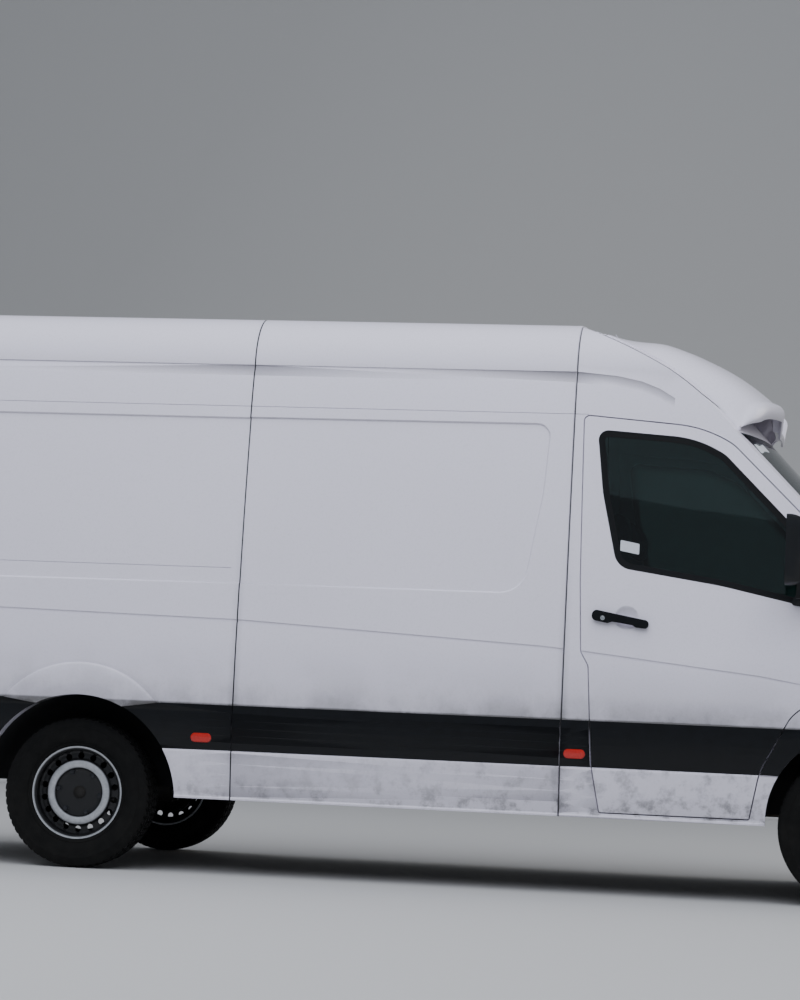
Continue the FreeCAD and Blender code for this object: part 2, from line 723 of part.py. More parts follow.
def load_roof():
    ring = load_body(0).cut(load_body(WALL, BODY_TAIL_X - 1, SEAM_FRONT_X + 1))
    ring = ring.common(box(TAIL_X, SEAM_FRONT_X, -1300, 1300, GUTTER_Z, ROOF_Z + 1))
    roof = ring.fuse(tail_slab(GUTTER_Z, ROOF_Z + 1))
    lines = [seam_groove(SEAM_REAR_X), seam_groove(SEAM_FRONT_X), crease_cut()]
    lines.append(gutter_groove(TAIL_X, SEAM_FRONT_X + 1, load_body(GROOVE_DEPTH)))
    grooves = lines + [mirrored(cut) for cut in lines]
    for x in range(int(BODY_TAIL_X) + 260, int(SEAM_FRONT_X) - 200, ROOF_RIB_PITCH):
        rib = plan_prism(((x, -480, 30), (x + 90, -480, 30), (x + 90, 480, 30), (x, 480, 30)), ROOF_Z - 200,
                         ROOF_Z + 5)
        grooves.append(rib.cut(load_body(ROOF_RIB_DEPTH)))
    return roof.cut(union(grooves))


def rear_door():
    corners = ((-REAR_DOOR_HALF, REAR_DOOR_LOW_Z, 40), (-REAR_DOOR_HALF, 1500, 800),
               (-REAR_DOOR_HALF + 58, 2300, 300),
               (-REAR_DOOR_HALF + 110, ROOF_Z - 154, 130), (-DOOR_GAP / 2, ROOF_Z - 154, 0),
               (-DOOR_GAP / 2, REAR_DOOR_LOW_Z, 0))
    door = front_prism(corners, BODY_TAIL_X, BODY_TAIL_X + WALL)
    panels = (((-770, 1440, 60), (-110, 1440, 60), (-110, 2330, 60), (-715, 2330, 60)),
              ((-770, 760, 60), (-110, 760, 60), (-110, 1330, 60), (-770, 1330, 60)))
    for panel in panels:
        door = door.cut(front_prism(panel, BODY_TAIL_X - 10, BODY_TAIL_X + RECESS_DEPTH))
    handle = front_prism(((-88, 1180, 14), (-48, 1180, 14), (-48, 1400, 14), (-88, 1400, 14)), BODY_TAIL_X - 24,
                         BODY_TAIL_X)
    reaches = (60, 60, 110)
    arms = [rear_hinge_moving(z, reach) for z, reach in zip(REAR_HINGE_ZS, reaches)]
    return door.fuse([handle] + arms)


def tail_lamp():
    lens = load_body(STRIP_PROUD, BODY_TAIL_X - 8, BODY_TAIL_X + LAMP_DEPTH)
    return lens.common(lamp_box())


# Cab

def door_outline(grow=0.0, y_to=-300.0):
    return side_prism(DOOR_CORNERS, -1300, y_to, grow)


def hinge_sweep(low=900):
    """Room round the cab door's hinge line; deeper behind the pillar's edge where the door leans in."""
    x = FRONT_HINGE_X
    y = -FRONT_HINGE_Y
    deep = rod((x, y, 1300), (x, y, 1700), HINGE_DEEP_R).common(box(1500, 1836, -1300, 0, 1300, 1700))
    return rod((x, y, low), (x, y, 1700), HINGE_SWEEP_R).fuse(deep)


def corner_sweep():
    """Room for the door's lower front corner, which passes the wing as it swings."""
    x = FRONT_HINGE_X
    y = -FRONT_HINGE_Y
    return rod((x, y, HINGE_CORNER_Z), (x, y, HINGE_CORNER_Z + 95), HINGE_CORNER_R)


def wing_outline():
    """Side-view region of the wing: ahead of the door seam, above the bumper, round the arch."""
    top = WING_TOP_Z
    foot = FRONT_AXLE_X + 300
    edge = BUMPER_TOP_Z + SEAM_WIDTH
    region = side_prism(((1400, SILL_Z, 0), (foot, SILL_Z, 0), (foot, edge, 0), (NOSE_X + 50, edge, 0),
                         (NOSE_X + 50, top, 0), (1400, top, 0)), -1300, 0)
    region = region.cut(side_prism(DOOR_CORNERS, -1300, 0, DOOR_GAP))
    behind_door = box(1300, 1836, -1300, 0, 1030, 1500)
    return region.cut(behind_door).cut(arch_hole(FRONT_AXLE_X, FRONT_ARCH_Z, FRONT_ARCH_R))


def lamp_outline():
    return side_prism(HEADLAMP_CORNERS, -1300, -LAMP_INBOARD_Y)


def bonnet_plan(grow):
    half_rear = 690 + grow
    half_front = 640 + grow
    front = NOSE_X + 50
    sides = plan_prism(((2200, -half_rear, 0), (front, -half_front, 0), (front, half_front, 0),
                        (2200, half_rear, 0)),
                       BONNET_EDGE_Z - grow, WING_TOP_Z)
    rear = rod((REVOLVE_X, 0, 900), (REVOLVE_X, 0, 1500), COWL_FRONT_R - grow)
    return sides.cut(rear)


def cowl_ring():
    ring = tube((REVOLVE_X, 0, 1150), (REVOLVE_X, 0, COWL_TOP_Z), COWL_FRONT_R - DOOR_GAP, 2900)
    return ring.common(box(2000, 2600, -COWL_HALF, COWL_HALF, 1150, COWL_TOP_Z))


def glass_prism():
    """Front-view outline of the windscreen."""
    low = COWL_TOP_Z
    high = HEADER_Z - 4
    corners = ((-GLASS_LOW_HALF, low, 60), (GLASS_LOW_HALF, low, 60), (GLASS_HIGH_HALF, high, 70),
               (-GLASS_HIGH_HALF, high, 70))
    return front_prism(corners, 1200, 2600)


def front_wing():
    wing = cab_layer(0, WING_WALL).common(wing_outline())
    wing = wing.cut(lamp_outline()).cut(bonnet_plan(DOOR_GAP)).cut(cowl_ring()).cut(glass_prism())
    grille_gap = box(2600, NOSE_X + 100, -LAMP_INBOARD_Y, 0, BUMPER_TOP_Z - 10, BONNET_EDGE_Z)
    lip = cab_layer(-FLARE_PROUD / 2, 0).common(arch_hole(FRONT_AXLE_X, FRONT_ARCH_Z, FRONT_ARCH_R + 45))
    lip = lip.common(wing_outline()).cut(box(1400, FRONT_AXLE_X, -1300, 0, 0, STRIP_HIGH_Z - 7))
    strip_zone = box(1400, FRONT_AXLE_X, -1300, 0, STRIP_LOW_Z, STRIP_HIGH_Z - 7)
    strip = cab_layer(-FLARE_PROUD / 2, 0).common(wing_outline()).common(strip_zone)
    sill = sill_bar(1400, FRONT_AXLE_X).common(wing_outline())
    return wing.cut(grille_gap).fuse([lip, strip, sill]).cut([hinge_sweep(HINGE_CORNER_Z), corner_sweep()])


def windscreen():
    glass = nose_solid(1).cut(nose_solid(1 + GLASS_THICK)).common(glass_prism())
    return glass


def cowl():
    """Panel at the foot of the windscreen with its shelf and the pins of the bonnet hinges."""
    layer = cab_body(4).cut(cab_body(4 + COWL_THICK)).common(cowl_ring())
    shelf = box(SHELF_X, 2500, -DASH_HALF, DASH_HALF, COWL_TOP_Z - 14,
                COWL_TOP_Z - 4).common(cab_body(4 + COWL_THICK / 2))
    panel = layer.fuse(shelf)
    x = BONNET_HINGE_X
    z = BONNET_HINGE_Z
    for side in (-1, 1):
        y = side * BONNET_HINGE_Y
        panel = panel.cut(box(x - 12, 2500, y - 17, y + 17, 1200, 1400))
        lugs = [box(x - 8, x + 8, y + offset - 6, y + offset + 6, z - 8, COWL_TOP_Z - 8) for offset in (-18,
                                                                                                        18)]
        panel = panel.fuse(lugs + [rod((x, y - 24, z), (x, y + 24, z), BONNET_PIN_R)])
    return panel


def bonnet():
    """Lid with its two hinge arms and their bored knuckles."""
    lid = cab_body(0).cut(cab_body(WING_WALL)).common(bonnet_plan(0))
    x = BONNET_HINGE_X
    z = BONNET_HINGE_Z
    arms = []
    bores = []
    for side in (-1, 1):
        y = side * BONNET_HINGE_Y
        arm = side_prism(((x, z + 9, 0), (x - 6, z - 9, 0), (x + 40, z - 28, 0), (x + 190, z - 85, 0),
                          (x + 190, z - 50, 0),
                          (x + 80, z - 15, 0)), y - 10, y + 10)
        arms.append(arm.common(cab_body(3)).fuse(rod((x, y - 10, z), (x, y + 10, z), 11)))
        bores.append(rod((x, y - 11, z), (x, y + 11, z), BONNET_PIN_R + RUN_GAP))
    return lid.fuse(arms).cut(union(bores))


def door_glass():
    return cab_layer(GLASS_INSET, GLASS_INSET + GLASS_THICK).common(side_prism(WINDOW_CORNERS))


def front_door():
    """Cab door: outer skin, inner frame stepped in all round, window cut, handle and hinge bores."""
    skin = cab_layer(0, DOOR_SKIN).common(door_outline())
    inner = cab_layer(DOOR_SKIN, WALL).common(door_outline(-DOOR_REBATE))
    bars = strip_bar(SEAM_FRONT_X, FRONT_HINGE_X).fuse(sill_bar(SEAM_FRONT_X,
                                                                FRONT_HINGE_X)).common(door_outline())
    ball = (CUP_R * CUP_R + CUP_DEPTH * CUP_DEPTH) / (2 * CUP_DEPTH)
    cup = Part.makeSphere(ball, V(878, -half_width(878, 1286) - ball + CUP_DEPTH, 1286))
    handle = handle_plate(849, 1272, 8.6).common(cab_layer(-HANDLE_PROUD, 0))
    door = skin.cut(cup).fuse([inner, bars]).cut(side_prism(WINDOW_CORNERS))
    door = door.fuse(handle).cut(swage_band().cut(cab_body(SWAGE_DEPTH)))
    x = FRONT_HINGE_X
    y = -FRONT_HINGE_Y
    door = door.cut(box(x - 12, 1900, -1300, 0, 900, 1700).common(cab_body(DOOR_SKIN)))
    corner = box(1700, 1900, -1300, 0, 900, HINGE_CORNER_Z + 30).cut(door_outline(-DOOR_REBATE))
    door = door.cut(corner.common(cab_body(DOOR_SKIN * 0.4)))
    for z in FRONT_HINGE_ZS:
        door = door.fuse(rod((x, y, z - 36), (x, y, z + 36), HINGE_BARREL_R).common(cab_body(1)))
        door = door.cut(rod((x, y, z - 40), (x, y, z + 40), HINGE_PIN_R + RUN_GAP))
        door = door.cut(rod((x, y, z - 9), (x, y, z + 9), HINGE_SWEEP_R).common(cab_body(3)))
        door = door.cut(box(x - 6, 1900, -1300, 0, z - 9, z + 9))
    return door


def cab_frame():
    """Cab side frame: rear pillar, top rail, windscreen pillar, hinge pillar and sill as one ring."""
    pillars = side_prism(((SEAM_FRONT_X, SILL_Z, 0), (1464, SILL_Z, 0), (1520, 600, 0), (1836, 980, 0),
                          (1836, WING_TOP_Z, 0), (2260, WING_TOP_Z, 0), (CAP_CORNER_X, HEADER_Z, 0),
                          (1290, GUTTER_Z, 0), (SEAM_FRONT_X, GUTTER_Z, 0)))
    region = pillars.fuse(door_outline(DOOR_REBATE)).cut(cap_region())
    frame = cab_layer(0, WALL).common(region)
    frame = frame.cut(door_outline(DOOR_GAP).cut(cab_body(DOOR_SKIN + DOOR_GAP)))
    frame = frame.cut(door_outline(DOOR_GAP - DOOR_REBATE))
    frame = frame.cut(wing_outline().cut(cab_body(WING_WALL + RUN_GAP)))
    bars = strip_bar(SEAM_FRONT_X, 900).fuse(sill_bar(SEAM_FRONT_X, FRONT_HINGE_X)).cut(door_outline(DOOR_GAP))
    bars = bars.common(box(0, 1540, -1300, 0, 0, STRIP_HIGH_Z)).cut(wing_outline())
    hinge_pillar = box(FRONT_HINGE_X - 4, FRONT_HINGE_X + 70, -HALF_WIDTH + 112, -HALF_WIDTH + 62, 420, 1560)
    frame = frame.fuse([bars, hinge_pillar.common(cab_body(WING_WALL + 1))])
    frame = frame.cut(gutter_groove(SEAM_FRONT_X - 1, DOOR_CORNERS[0][0] + 20, cab_body(GROOVE_DEPTH)))
    frame = frame.cut(glass_prism()).cut(seam_groove(SEAM_FRONT_X)).cut(hinge_sweep())
    frame = frame.cut(arch_hole(FRONT_AXLE_X, FRONT_ARCH_Z, FRONT_ARCH_R + LINER_THICK))
    x = FRONT_HINGE_X
    y = -FRONT_HINGE_Y
    lugs = []
    for z in FRONT_HINGE_ZS:
        lugs.append(rod((x, y, z - 32), (x, y, z + 32), HINGE_PIN_R))
        lugs.append(box(x - 6, x + 6, y, -HALF_WIDTH + 80, z - 4, z + 4))
    return largest(frame.fuse(lugs))


def cap_region():
    """Side-view region of the moulded cap over the cab."""
    return side_prism(((SEAM_FRONT_X, GUTTER_Z, 0), (1290, GUTTER_Z, 0), (CAP_CORNER_X, HEADER_Z, 0),
                       (1800, HEADER_Z, 0),
                       (1800, ROOF_Z + 50, 0), (SEAM_FRONT_X, ROOF_Z + 50, 0)), -1300, 1300)


def fairing_form(wall):
    """Solid under the fairing's skin at a depth: its profile drawn across the van and narrowed to the front."""
    points, edges = sunk_profile(fairing_rows(), wall)
    drop = wall * 2.5
    low = GUTTER_Z - 30 - drop
    frame = [points[-1], (points[-1][0], 0, GUTTER_Z + 0.5 * ROOF_RISE), (1100, 0, low), (points[0][0], 0, low),
             points[0]]
    edges += [line(frame[i], frame[i + 1]) for i in range(len(frame) - 1)]
    hood = moved(Part.Face(Part.Wire(edges)), y=-HALF_WIDTH).extrude(V(0, 2 * HALF_WIDTH, 0))
    right = [(SEAM_FRONT_X + 1, -950, 0), (1000, -905 + wall, 400), (1490, -700 + wall, 110),
             (1640 - wall, -540, 0)]
    left = [(x, -y, radius) for x, y, radius in reversed(right)]
    return hood.common(cab_sides(FAIRING_INSET + wall)).common(plan_prism(right + left, LOW_Z, ROOF_Z + 100))


def fairing():
    """Hooded brow above the windscreen; its underside and the front of its cheeks are open."""
    skin = fairing_form(0).cut(fairing_form(FAIRING_WALL)).cut(cab_body(0))
    mouth = box(HEADER_X - 57, HEADER_X + 27, -HALF_WIDTH, HALF_WIDTH, GUTTER_Z - 60,
                GUTTER_Z + 0.16 * ROOF_RISE)
    return skin.cut(mouth)


def cab_roof():
    """Moulded cap over the cab with its fairing."""
    cap = cab_body(0).cut(cab_body(WALL)).common(cap_region()).cut(glass_prism())
    cuts = [seam_groove(SEAM_FRONT_X), crease_cut(), gutter_groove(SEAM_FRONT_X - 1, DOOR_CORNERS[0][0] + 20,
                                                                   cab_body(GROOVE_DEPTH))]
    cap = cap.cut(cuts + [mirrored(cut) for cut in cuts])
    return largest(cap.fuse(fairing()))


def front_bumper():
    """Wrapped bumper with intake, fog-lamp pockets, slats and the two stays that carry it."""
    rear = FRONT_AXLE_X + 300 + SEAM_WIDTH
    zone = side_prism(((rear, LOW_Z, 0), (NOSE_X + 60, LOW_Z, 0), (NOSE_X + 60, BUMPER_TOP_Z, 0),
                       (rear, BUMPER_TOP_Z, 0)), -1300, 1300)
    skin = cab_body(0).cut(cab_body(WING_WALL)).common(zone)
    skin = skin.cut(arch_hole(FRONT_AXLE_X, FRONT_ARCH_Z, FRONT_ARCH_R, -1300, 1300))
    intake = front_prism(((-430, 330, 40), (430, 330, 40), (470, 540, 40), (-470, 540, 40)), 2500, NOSE_X + 60)
    skin = skin.cut(intake)
    parts = []
    for side in (-1, 1):
        fog = front_prism(((side * 600, 390, 25), (side * 740, 390, 25), (side * 740, 500, 25),
                           (side * 600, 500, 25)),
                          2600, NOSE_X + 60)
        skin = skin.cut(fog.cut(cab_body(15)))
        parts.append(box(2765, NOSE_X, side * (RAIL_INNER_Y + 40), side * RAIL_OUTER_Y, 480,
                         520).common(cab_body(10)))
    bars = cab_body(6).cut(cab_body(WING_WALL - 5))
    parts += [bars.common(box(2500, NOSE_X + 60, -480, 480, z, z + 14)) for z in (372, 424, 476)]
    return skin.fuse(parts)


def grille():
    """Slatted grille between the headlamps, with a blank middle."""
    half = LAMP_INBOARD_Y
    layer = cab_body(3).cut(cab_body(45)).common(box(2600, NOSE_X + 60, -half, half, BUMPER_TOP_Z,
                                                     BONNET_EDGE_Z - DOOR_GAP))
    slots = []
    for i in range(GRILLE_SLOTS):
        z = BUMPER_TOP_Z + 36 + i * GRILLE_PITCH
        slots.append(front_prism(((-half + 40, z, 8), (half - 40, z, 8), (half - 40, z + GRILLE_SLOT, 8),
                                  (-half + 40, z + GRILLE_SLOT, 8)),
                                 2500, NOSE_X + 60))
    return layer.cut(union(slots))


def headlamp():
    return cab_layer(1, WALL).common(lamp_outline())


def door_mirror():
    """Mirror housing on its two arms, and the sail plate at the front corner of the door window."""
    rear = MIRROR_X
    outer = -HALF_WIDTH - MIRROR_REACH
    inner = -HALF_WIDTH - MIRROR_CLEAR
    face = front_prism(((outer, 1452, 45), (inner, 1452, 45), (inner - 6, 1775, 60), (outer + 13, 1775, 70)),
                       rear, rear + 130)
    plan = plan_prism(((rear, outer - 2, 0), (rear + 70, outer + 4, 150), (rear + 130, outer + 70, 50),
                       (rear + 130, inner - 55, 40), (rear + 60, inner, 40), (rear, inner + 2, 0)), 1400, 1800)
    side = side_prism(((rear, 1450, 0), (rear + 60, 1455, 120), (rear + 130, 1520, 60), (rear + 130, 1700, 60),
                       (rear + 60, 1768, 120), (rear, 1777, 0)), outer - 20, inner + 20)
    pocket = front_prism(((outer + 14, 1466, 35), (inner - 14, 1466, 35), (inner - 20, 1761, 48),
                          (outer + 27, 1761, 58)),
                         rear - 1, rear + 12)
    housing = face.common(plan).common(side).cut(pocket)
    sail = cab_layer(-SAIL_THICK, 0).common(side_prism(((1620, 1368, 15), (1782, 1350, 15), (1782, 1560, 15),
                                                        (1735, 1575, 15))))
    root = -HALF_WIDTH + 36
    arms = []
    for z in (1395, 1478):
        arms.append(plan_prism(((rear + 50, inner - 30, 0), (1700, root, 0), (1755, root, 0),
                                (rear + 105, inner - 45, 0)), z, z + 26))
    stem = box(rear + 52, rear + 100, inner - 6, inner - 46, 1395, 1504)
    return housing.fuse([arms[0].fuse([arms[1], stem]).cut(cab_body(0)), sail])


# Floors, bulkhead and inner linings

def load_floor():
    inner = load_body(WALL + RUN_GAP, BODY_TAIL_X, BULKHEAD_X)
    plate = inner.common(box(TAIL_X, BULKHEAD_X, -1300, 1300, FLOOR_Z - FLOOR_THICK, FLOOR_Z))
    pitch = 110
    for i in range(-7, 8):
        y = i * pitch
        plate = plate.cut(box(BODY_TAIL_X + 90, BULKHEAD_X - 30, y - 12, y + 12, FLOOR_Z - FLOOR_RIB_DEPTH,
                              FLOOR_Z + 10))
    for side in (-1, 1):
        y0, y1 = sorted((side * HOUSING_Y, side * 1300))
        plate = plate.cut(rod((REAR_AXLE_X + 4, y0, REAR_ARCH_Z), (REAR_AXLE_X + 4, y1, REAR_ARCH_Z),
                              REAR_ARCH_R + 8))
    end = BODY_TAIL_X + WALL
    plate = plate.cut(box(TAIL_X, end + DOOR_GAP, -1300, 1300, 0, FLOOR_Z + 10))
    sill = box(BODY_TAIL_X, end + DOOR_GAP, -REAR_DOOR_HALF, REAR_DOOR_HALF, 560, REAR_DOOR_LOW_Z - DOOR_GAP)
    lip = box(end + DOOR_GAP - 4, end + DOOR_GAP + 17, -REAR_DOOR_HALF, REAR_DOOR_HALF, 600,
              FLOOR_Z - FLOOR_THICK)
    return plate.fuse([sill, lip])


def arch_liner(x, z, radius, y_in, body, slot_half, slot_top):
    """Half drum over a wheel with its inner side wall, slotted for the axle or arms."""
    drum = rod((x, -HALF_WIDTH, z), (x, -y_in, z), radius + LINER_THICK)
    hollow = rod((x, -HALF_WIDTH - 1, z), (x, -y_in - LINER_THICK, z), radius)
    upper = box(x - radius - 20, x + radius + 20, -1300, 0, SILL_Z + 40, z + radius + 50)
    slot = box(x - slot_half, x + slot_half, -y_in - LINER_THICK - 1, 0, 0, slot_top)
    return drum.cut(hollow).common(upper).common(body).cut(slot)


def bulkhead():
    plate = load_body(WALL + RUN_GAP, BULKHEAD_X, BULKHEAD_X + BULKHEAD_THICK)
    plate = plate.common(box(BULKHEAD_X, BULKHEAD_X + BULKHEAD_THICK, -1300, 1300, CAB_FLOOR_Z, ROOF_Z))
    for i in range(-3, 4):
        y = i * 210
        plate = plate.cut(box(BULKHEAD_X - 5, BULKHEAD_X + 8, y - 30, y + 30, 800, 2100))
    return plate


def cab_floor():
    """Cab floor with its tunnel between the front wheels and the toe board in front."""
    rear = box(BULKHEAD_X, FRONT_AXLE_X - 430, -FLOOR_HALF, FLOOR_HALF, CAB_FLOOR_Z - FLOOR_THICK, CAB_FLOOR_Z)
    tunnel = box(FRONT_AXLE_X - 430, TOE_X, -TUNNEL_HALF, TUNNEL_HALF, CAB_FLOOR_Z - FLOOR_THICK, CAB_FLOOR_Z)
    toe_low = box(TOE_X, TOE_X + 25, -TUNNEL_HALF, TUNNEL_HALF, CAB_FLOOR_Z - FLOOR_THICK, 820)
    toe_high = box(TOE_X, TOE_X + 25, -870, 870, 810, 1270)
    return union([rear, tunnel, toe_low, toe_high])


def dashboard():
    """Moulded dash with its instrument hood and the shroud that carries the steering column."""
    corners = ((1572, 1000, 20), (1548, 1180, 40), (1600, 1300, 60), (1740, 1338, 200), (2010, 1352, 0),
               (SHELF_X, 1345, 0),
               (SHELF_X, 1290, 0), (1960, 1270, 0), (1960, 1000, 0))
    body = side_prism(corners, -DASH_HALF, DASH_HALF).common(cab_body(WALL + 1))
    cluster = side_prism(((1590, 1290, 10), (1640, 1400, 30), (1770, 1390, 40), (1790, 1320, 0)),
                         DRIVER_Y - 190, DRIVER_Y + 190)
    shroud = rod(column_point(-75), column_point(-240), 40)
    bore = rod(column_point(10), column_point(-STEERING_SHAFT - RUN_GAP), STEERING_SHAFT_R + RUN_GAP)
    return body.fuse([cluster, shroud]).cut(bore)


def seat_frames():
    """Pedestals under the driver's and the double passenger cushions."""
    frames = []
    for y0, y1 in ((DRIVER_Y - 200, DRIVER_Y + 200), (BENCH_Y - 350, BENCH_Y + 350)):
        frames.append(side_prism(((880, CAB_FLOOR_Z, 0), (1310, CAB_FLOOR_Z, 0), (1330, CUSHION_Z, 30),
                                  (860, CUSHION_Z, 30)), y0, y1))
    return frames


def seat_cushions():
    cushions = []
    for y0, y1 in ((DRIVER_Y - 250, DRIVER_Y + 250), (BENCH_Y - 430, BENCH_Y + 430)):
        z = CUSHION_Z + SOFT_GAP
        cushions.append(side_prism(((850, z, 30), (1370, z, 40), (1385, z + 135, 50), (850, z + 105, 30)), y0,
                                   y1))
    return cushions


def seat_backs():
    backs = []
    z = CUSHION_Z + 105 + 2 * SOFT_GAP
    rows = ((DRIVER_Y, 240), (BENCH_Y - 210, 205), (BENCH_Y + 210, 205))
    for y, half in rows:
        back = side_prism(((975, z + 7, 40), (868, z + 600, 45), (758, z + 590, 45), (835, z - 0.8, 25)),
                          y - half, y + half)
        head = side_prism(((848, z + 640, 35), (828, z + 815, 40), (742, z + 810, 40), (755, z + 640, 35)),
                          y - 130, y + 130)
        posts = [rod((805, y + side * 60, z + 555), (795, y + side * 60, z + 675), 7) for side in (-1, 1)]
        backs.append(back.fuse([head] + posts))
    return backs


def column_point(along):
    """Point on the steering column's axis, measured from the wheel's middle towards the driver."""
    tilt = math.radians(STEERING_TILT)
    return (STEERING_X - along * math.sin(tilt), DRIVER_Y, STEERING_Z + along * math.cos(tilt))


def steering_wheel():
    """Rim, three spokes, boss and the turning upper column."""
    rim = Part.makeTorus(STEERING_R, STEERING_GRIP_R)
    boss = rod((0, 0, -30), (0, 0, 12), 62)
    spokes = []
    for angle in (90, 210, 330):
        spoke = box(40, STEERING_R, -22, 22, -16, -4)
        spoke.rotate(V(0, 0, 0), V(0, 0, 1), angle)
        spokes.append(spoke)
    shaft = rod((0, 0, -STEERING_SHAFT), (0, 0, -20), STEERING_SHAFT_R)
    wheel = union([rim, boss, shaft] + spokes)
    wheel.rotate(V(0, 0, 0), V(0, 1, 0), -STEERING_TILT)
    return moved(wheel, x=STEERING_X, y=DRIVER_Y, z=STEERING_Z)


def on_glass(y, z, lift):
    """Point held off the windscreen by a lift along its normal."""
    slope = (COWL_X - HEADER_X) / (HEADER_Z - COWL_Z)
    steep = math.hypot(1, slope)
    radius = COWL_X - REVOLVE_X - (z - COWL_Z) * slope + lift / steep
    return (REVOLVE_X + math.sqrt(radius * radius - y * y), y, z + lift * slope / steep)


def wipers():
    """Two parked wiper arms with their blades along the foot of the windscreen."""
    arms = []
    for y_pivot, y_from, y_to in ((-330, -400, -850), (420, 330, -180)):
        blade = [on_glass(y_from + (y_to - y_from) * i / 4, COWL_TOP_Z + 40 + 12 * i, 6) for i in range(5)]
        pivot = on_glass(y_pivot, COWL_TOP_Z - 12, 0)
        elbow = (pivot[0], pivot[1], COWL_TOP_Z + 16)
        reach = on_glass((y_pivot + blade[2][1]) / 2, COWL_TOP_Z + 38, 18)
        arm = pipe([elbow, reach, on_glass(blade[2][1], blade[2][2], 13)], 6)
        post = rod((pivot[0], pivot[1], COWL_TOP_Z - 60), (pivot[0], pivot[1], COWL_TOP_Z + 22), 13)
        arms.append(union([post, arm, pipe(blade, 4.5)]).cut(cab_body(4)))
    return arms


# Power train, chassis and axles

def engine():
    block = box(1990, 2590, -290, 290, 470, 1060)
    sump = box(2060, 2520, -200, 200, 400, 470)
    gearbox = side_prism(((1150, 400, 30), (1700, 375, 40), (1850, 446, 0), (1990, 446, 0), (1990, 540, 0),
                          (1700, 535, 0),
                          (1150, 520, 30)), -150, 150)
    return block.fuse([sump, gearbox])


def cooling_pack():
    pack = box(2700, 2765, -430, 430, 330, 990)
    stays = [box(RAIL_FRONT_X, 2765, side * 425, side * RAIL_OUTER_Y, 480, 520) for side in (-1, 1)]
    return union([pack] + stays)


def chassis_rails():
    """Two channel rails with a kick-down into the cab, joined by cross-members."""
    top = FLOOR_Z - FLOOR_THICK
    cab_top = CAB_FLOOR_Z - FLOOR_THICK
    rear = BODY_TAIL_X + WALL + 24
    profile = ((rear, top - 120, 0), (SEAM_FRONT_X - 260, top - 120, 0), (SEAM_FRONT_X + 40, cab_top - 120, 0),
               (RAIL_FRONT_X, cab_top - 120, 0), (RAIL_FRONT_X, cab_top, 0), (SEAM_FRONT_X + 40, cab_top, 0),
               (SEAM_FRONT_X - 50, cab_top, 0), (SEAM_FRONT_X - 66, top, 0), (rear, top, 0))
    hollow = []
    for i, (x, z, radius) in enumerate(profile):
        inset = 20 if x == rear else -20 if x == RAIL_FRONT_X else 0
        hollow.append((x + inset, z + (RAIL_WEB if i < 4 else -RAIL_WEB), radius))
    rails = []
    for side in (-1, 1):
        y0, y1 = sorted((side * RAIL_INNER_Y, side * RAIL_OUTER_Y))
        rail = side_prism(profile, y0, y1)
        h0, h1 = sorted((side * (RAIL_INNER_Y - 1), side * (RAIL_OUTER_Y - RAIL_WEB)))
        rail = rail.cut(side_prism(hollow, h0, h1))
        for x in TOW_BOLT_XS:
            rail = rail.cut(rod((x, side * RAIL_BOLT_Y, top - 130), (x, side * RAIL_BOLT_Y, top - 100),
                                TOW_BOLT_R))
        rails.append(rail)
    bars = []
    for x, low, high in CROSS_MEMBERS:
        bars.append(box(x - CROSS_HALF, x + CROSS_HALF, -RAIL_OUTER_Y + RAIL_WEB, RAIL_OUTER_Y - RAIL_WEB, low,
                        high))
    return union(rails + bars)


def rear_axle():
    axle = rod((REAR_AXLE_X, -WHEEL_Y - 24, TYRE_R), (REAR_AXLE_X, WHEEL_Y + 24, TYRE_R), AXLE_TUBE_R)
    stubs = rod((REAR_AXLE_X, -WHEEL_Y - 46, TYRE_R), (REAR_AXLE_X, WHEEL_Y + 46, TYRE_R), HUB_R)
    ball = Part.makeSphere(DIFF_R, V(REAR_AXLE_X, 0, TYRE_R))
    nose = rod((REAR_AXLE_X, 0, TYRE_R), (REAR_AXLE_X + 230, 0, TYRE_R), 62)
    drums = []
    for side in (-1, 1):
        drums.append(rod((REAR_AXLE_X, side * (WHEEL_Y - 50), TYRE_R),
                         (REAR_AXLE_X, side * (WHEEL_Y + 18), TYRE_R), 150))
    return union([axle, stubs, ball, nose] + drums)


def propshaft():
    """Shaft between the gearbox and the rear axle with a flange at each end."""
    rear = REAR_AXLE_X + 230 + RUN_GAP
    front = 1150 - RUN_GAP
    shaft = rod((rear + 20, 0, TYRE_R), (front - 20, 0, 440), 42)
    return union([shaft, rod((rear, 0, TYRE_R), (rear + 26, 0, TYRE_R), 55),
                  rod((front - 26, 0, 440), (front, 0, 440), 55)])


def rear_spring(side):
    """Leaf spring under a rail: an arc of leaves between two eyes, sitting on the axle tube."""
    y0 = side * SPRING_Y - 35
    low = TYRE_R + AXLE_TUBE_R
    eye_z = FLOOR_Z - FLOOR_THICK - 120 - 24
    x0 = REAR_AXLE_X - 640
    x1 = REAR_AXLE_X + 640
    under = arc((x0, y0, eye_z - 14), (REAR_AXLE_X, y0, low), (x1, y0, eye_z - 14))
    over = arc((x1, y0, eye_z + 14), (REAR_AXLE_X, y0, low + 34), (x0, y0, eye_z + 14))
    ends = [line((x1, y0, eye_z - 14), (x1, y0, eye_z + 14)), line((x0, y0, eye_z + 14), (x0, y0, eye_z - 14))]
    leaf = Part.Face(Part.Wire([under, ends[0], over, ends[1]])).extrude(V(0, 70, 0))
    eyes = [rod((x, y0, eye_z), (x, y0 + 70, eye_z), 24) for x in (x0, x1)]
    return leaf.fuse(eyes)


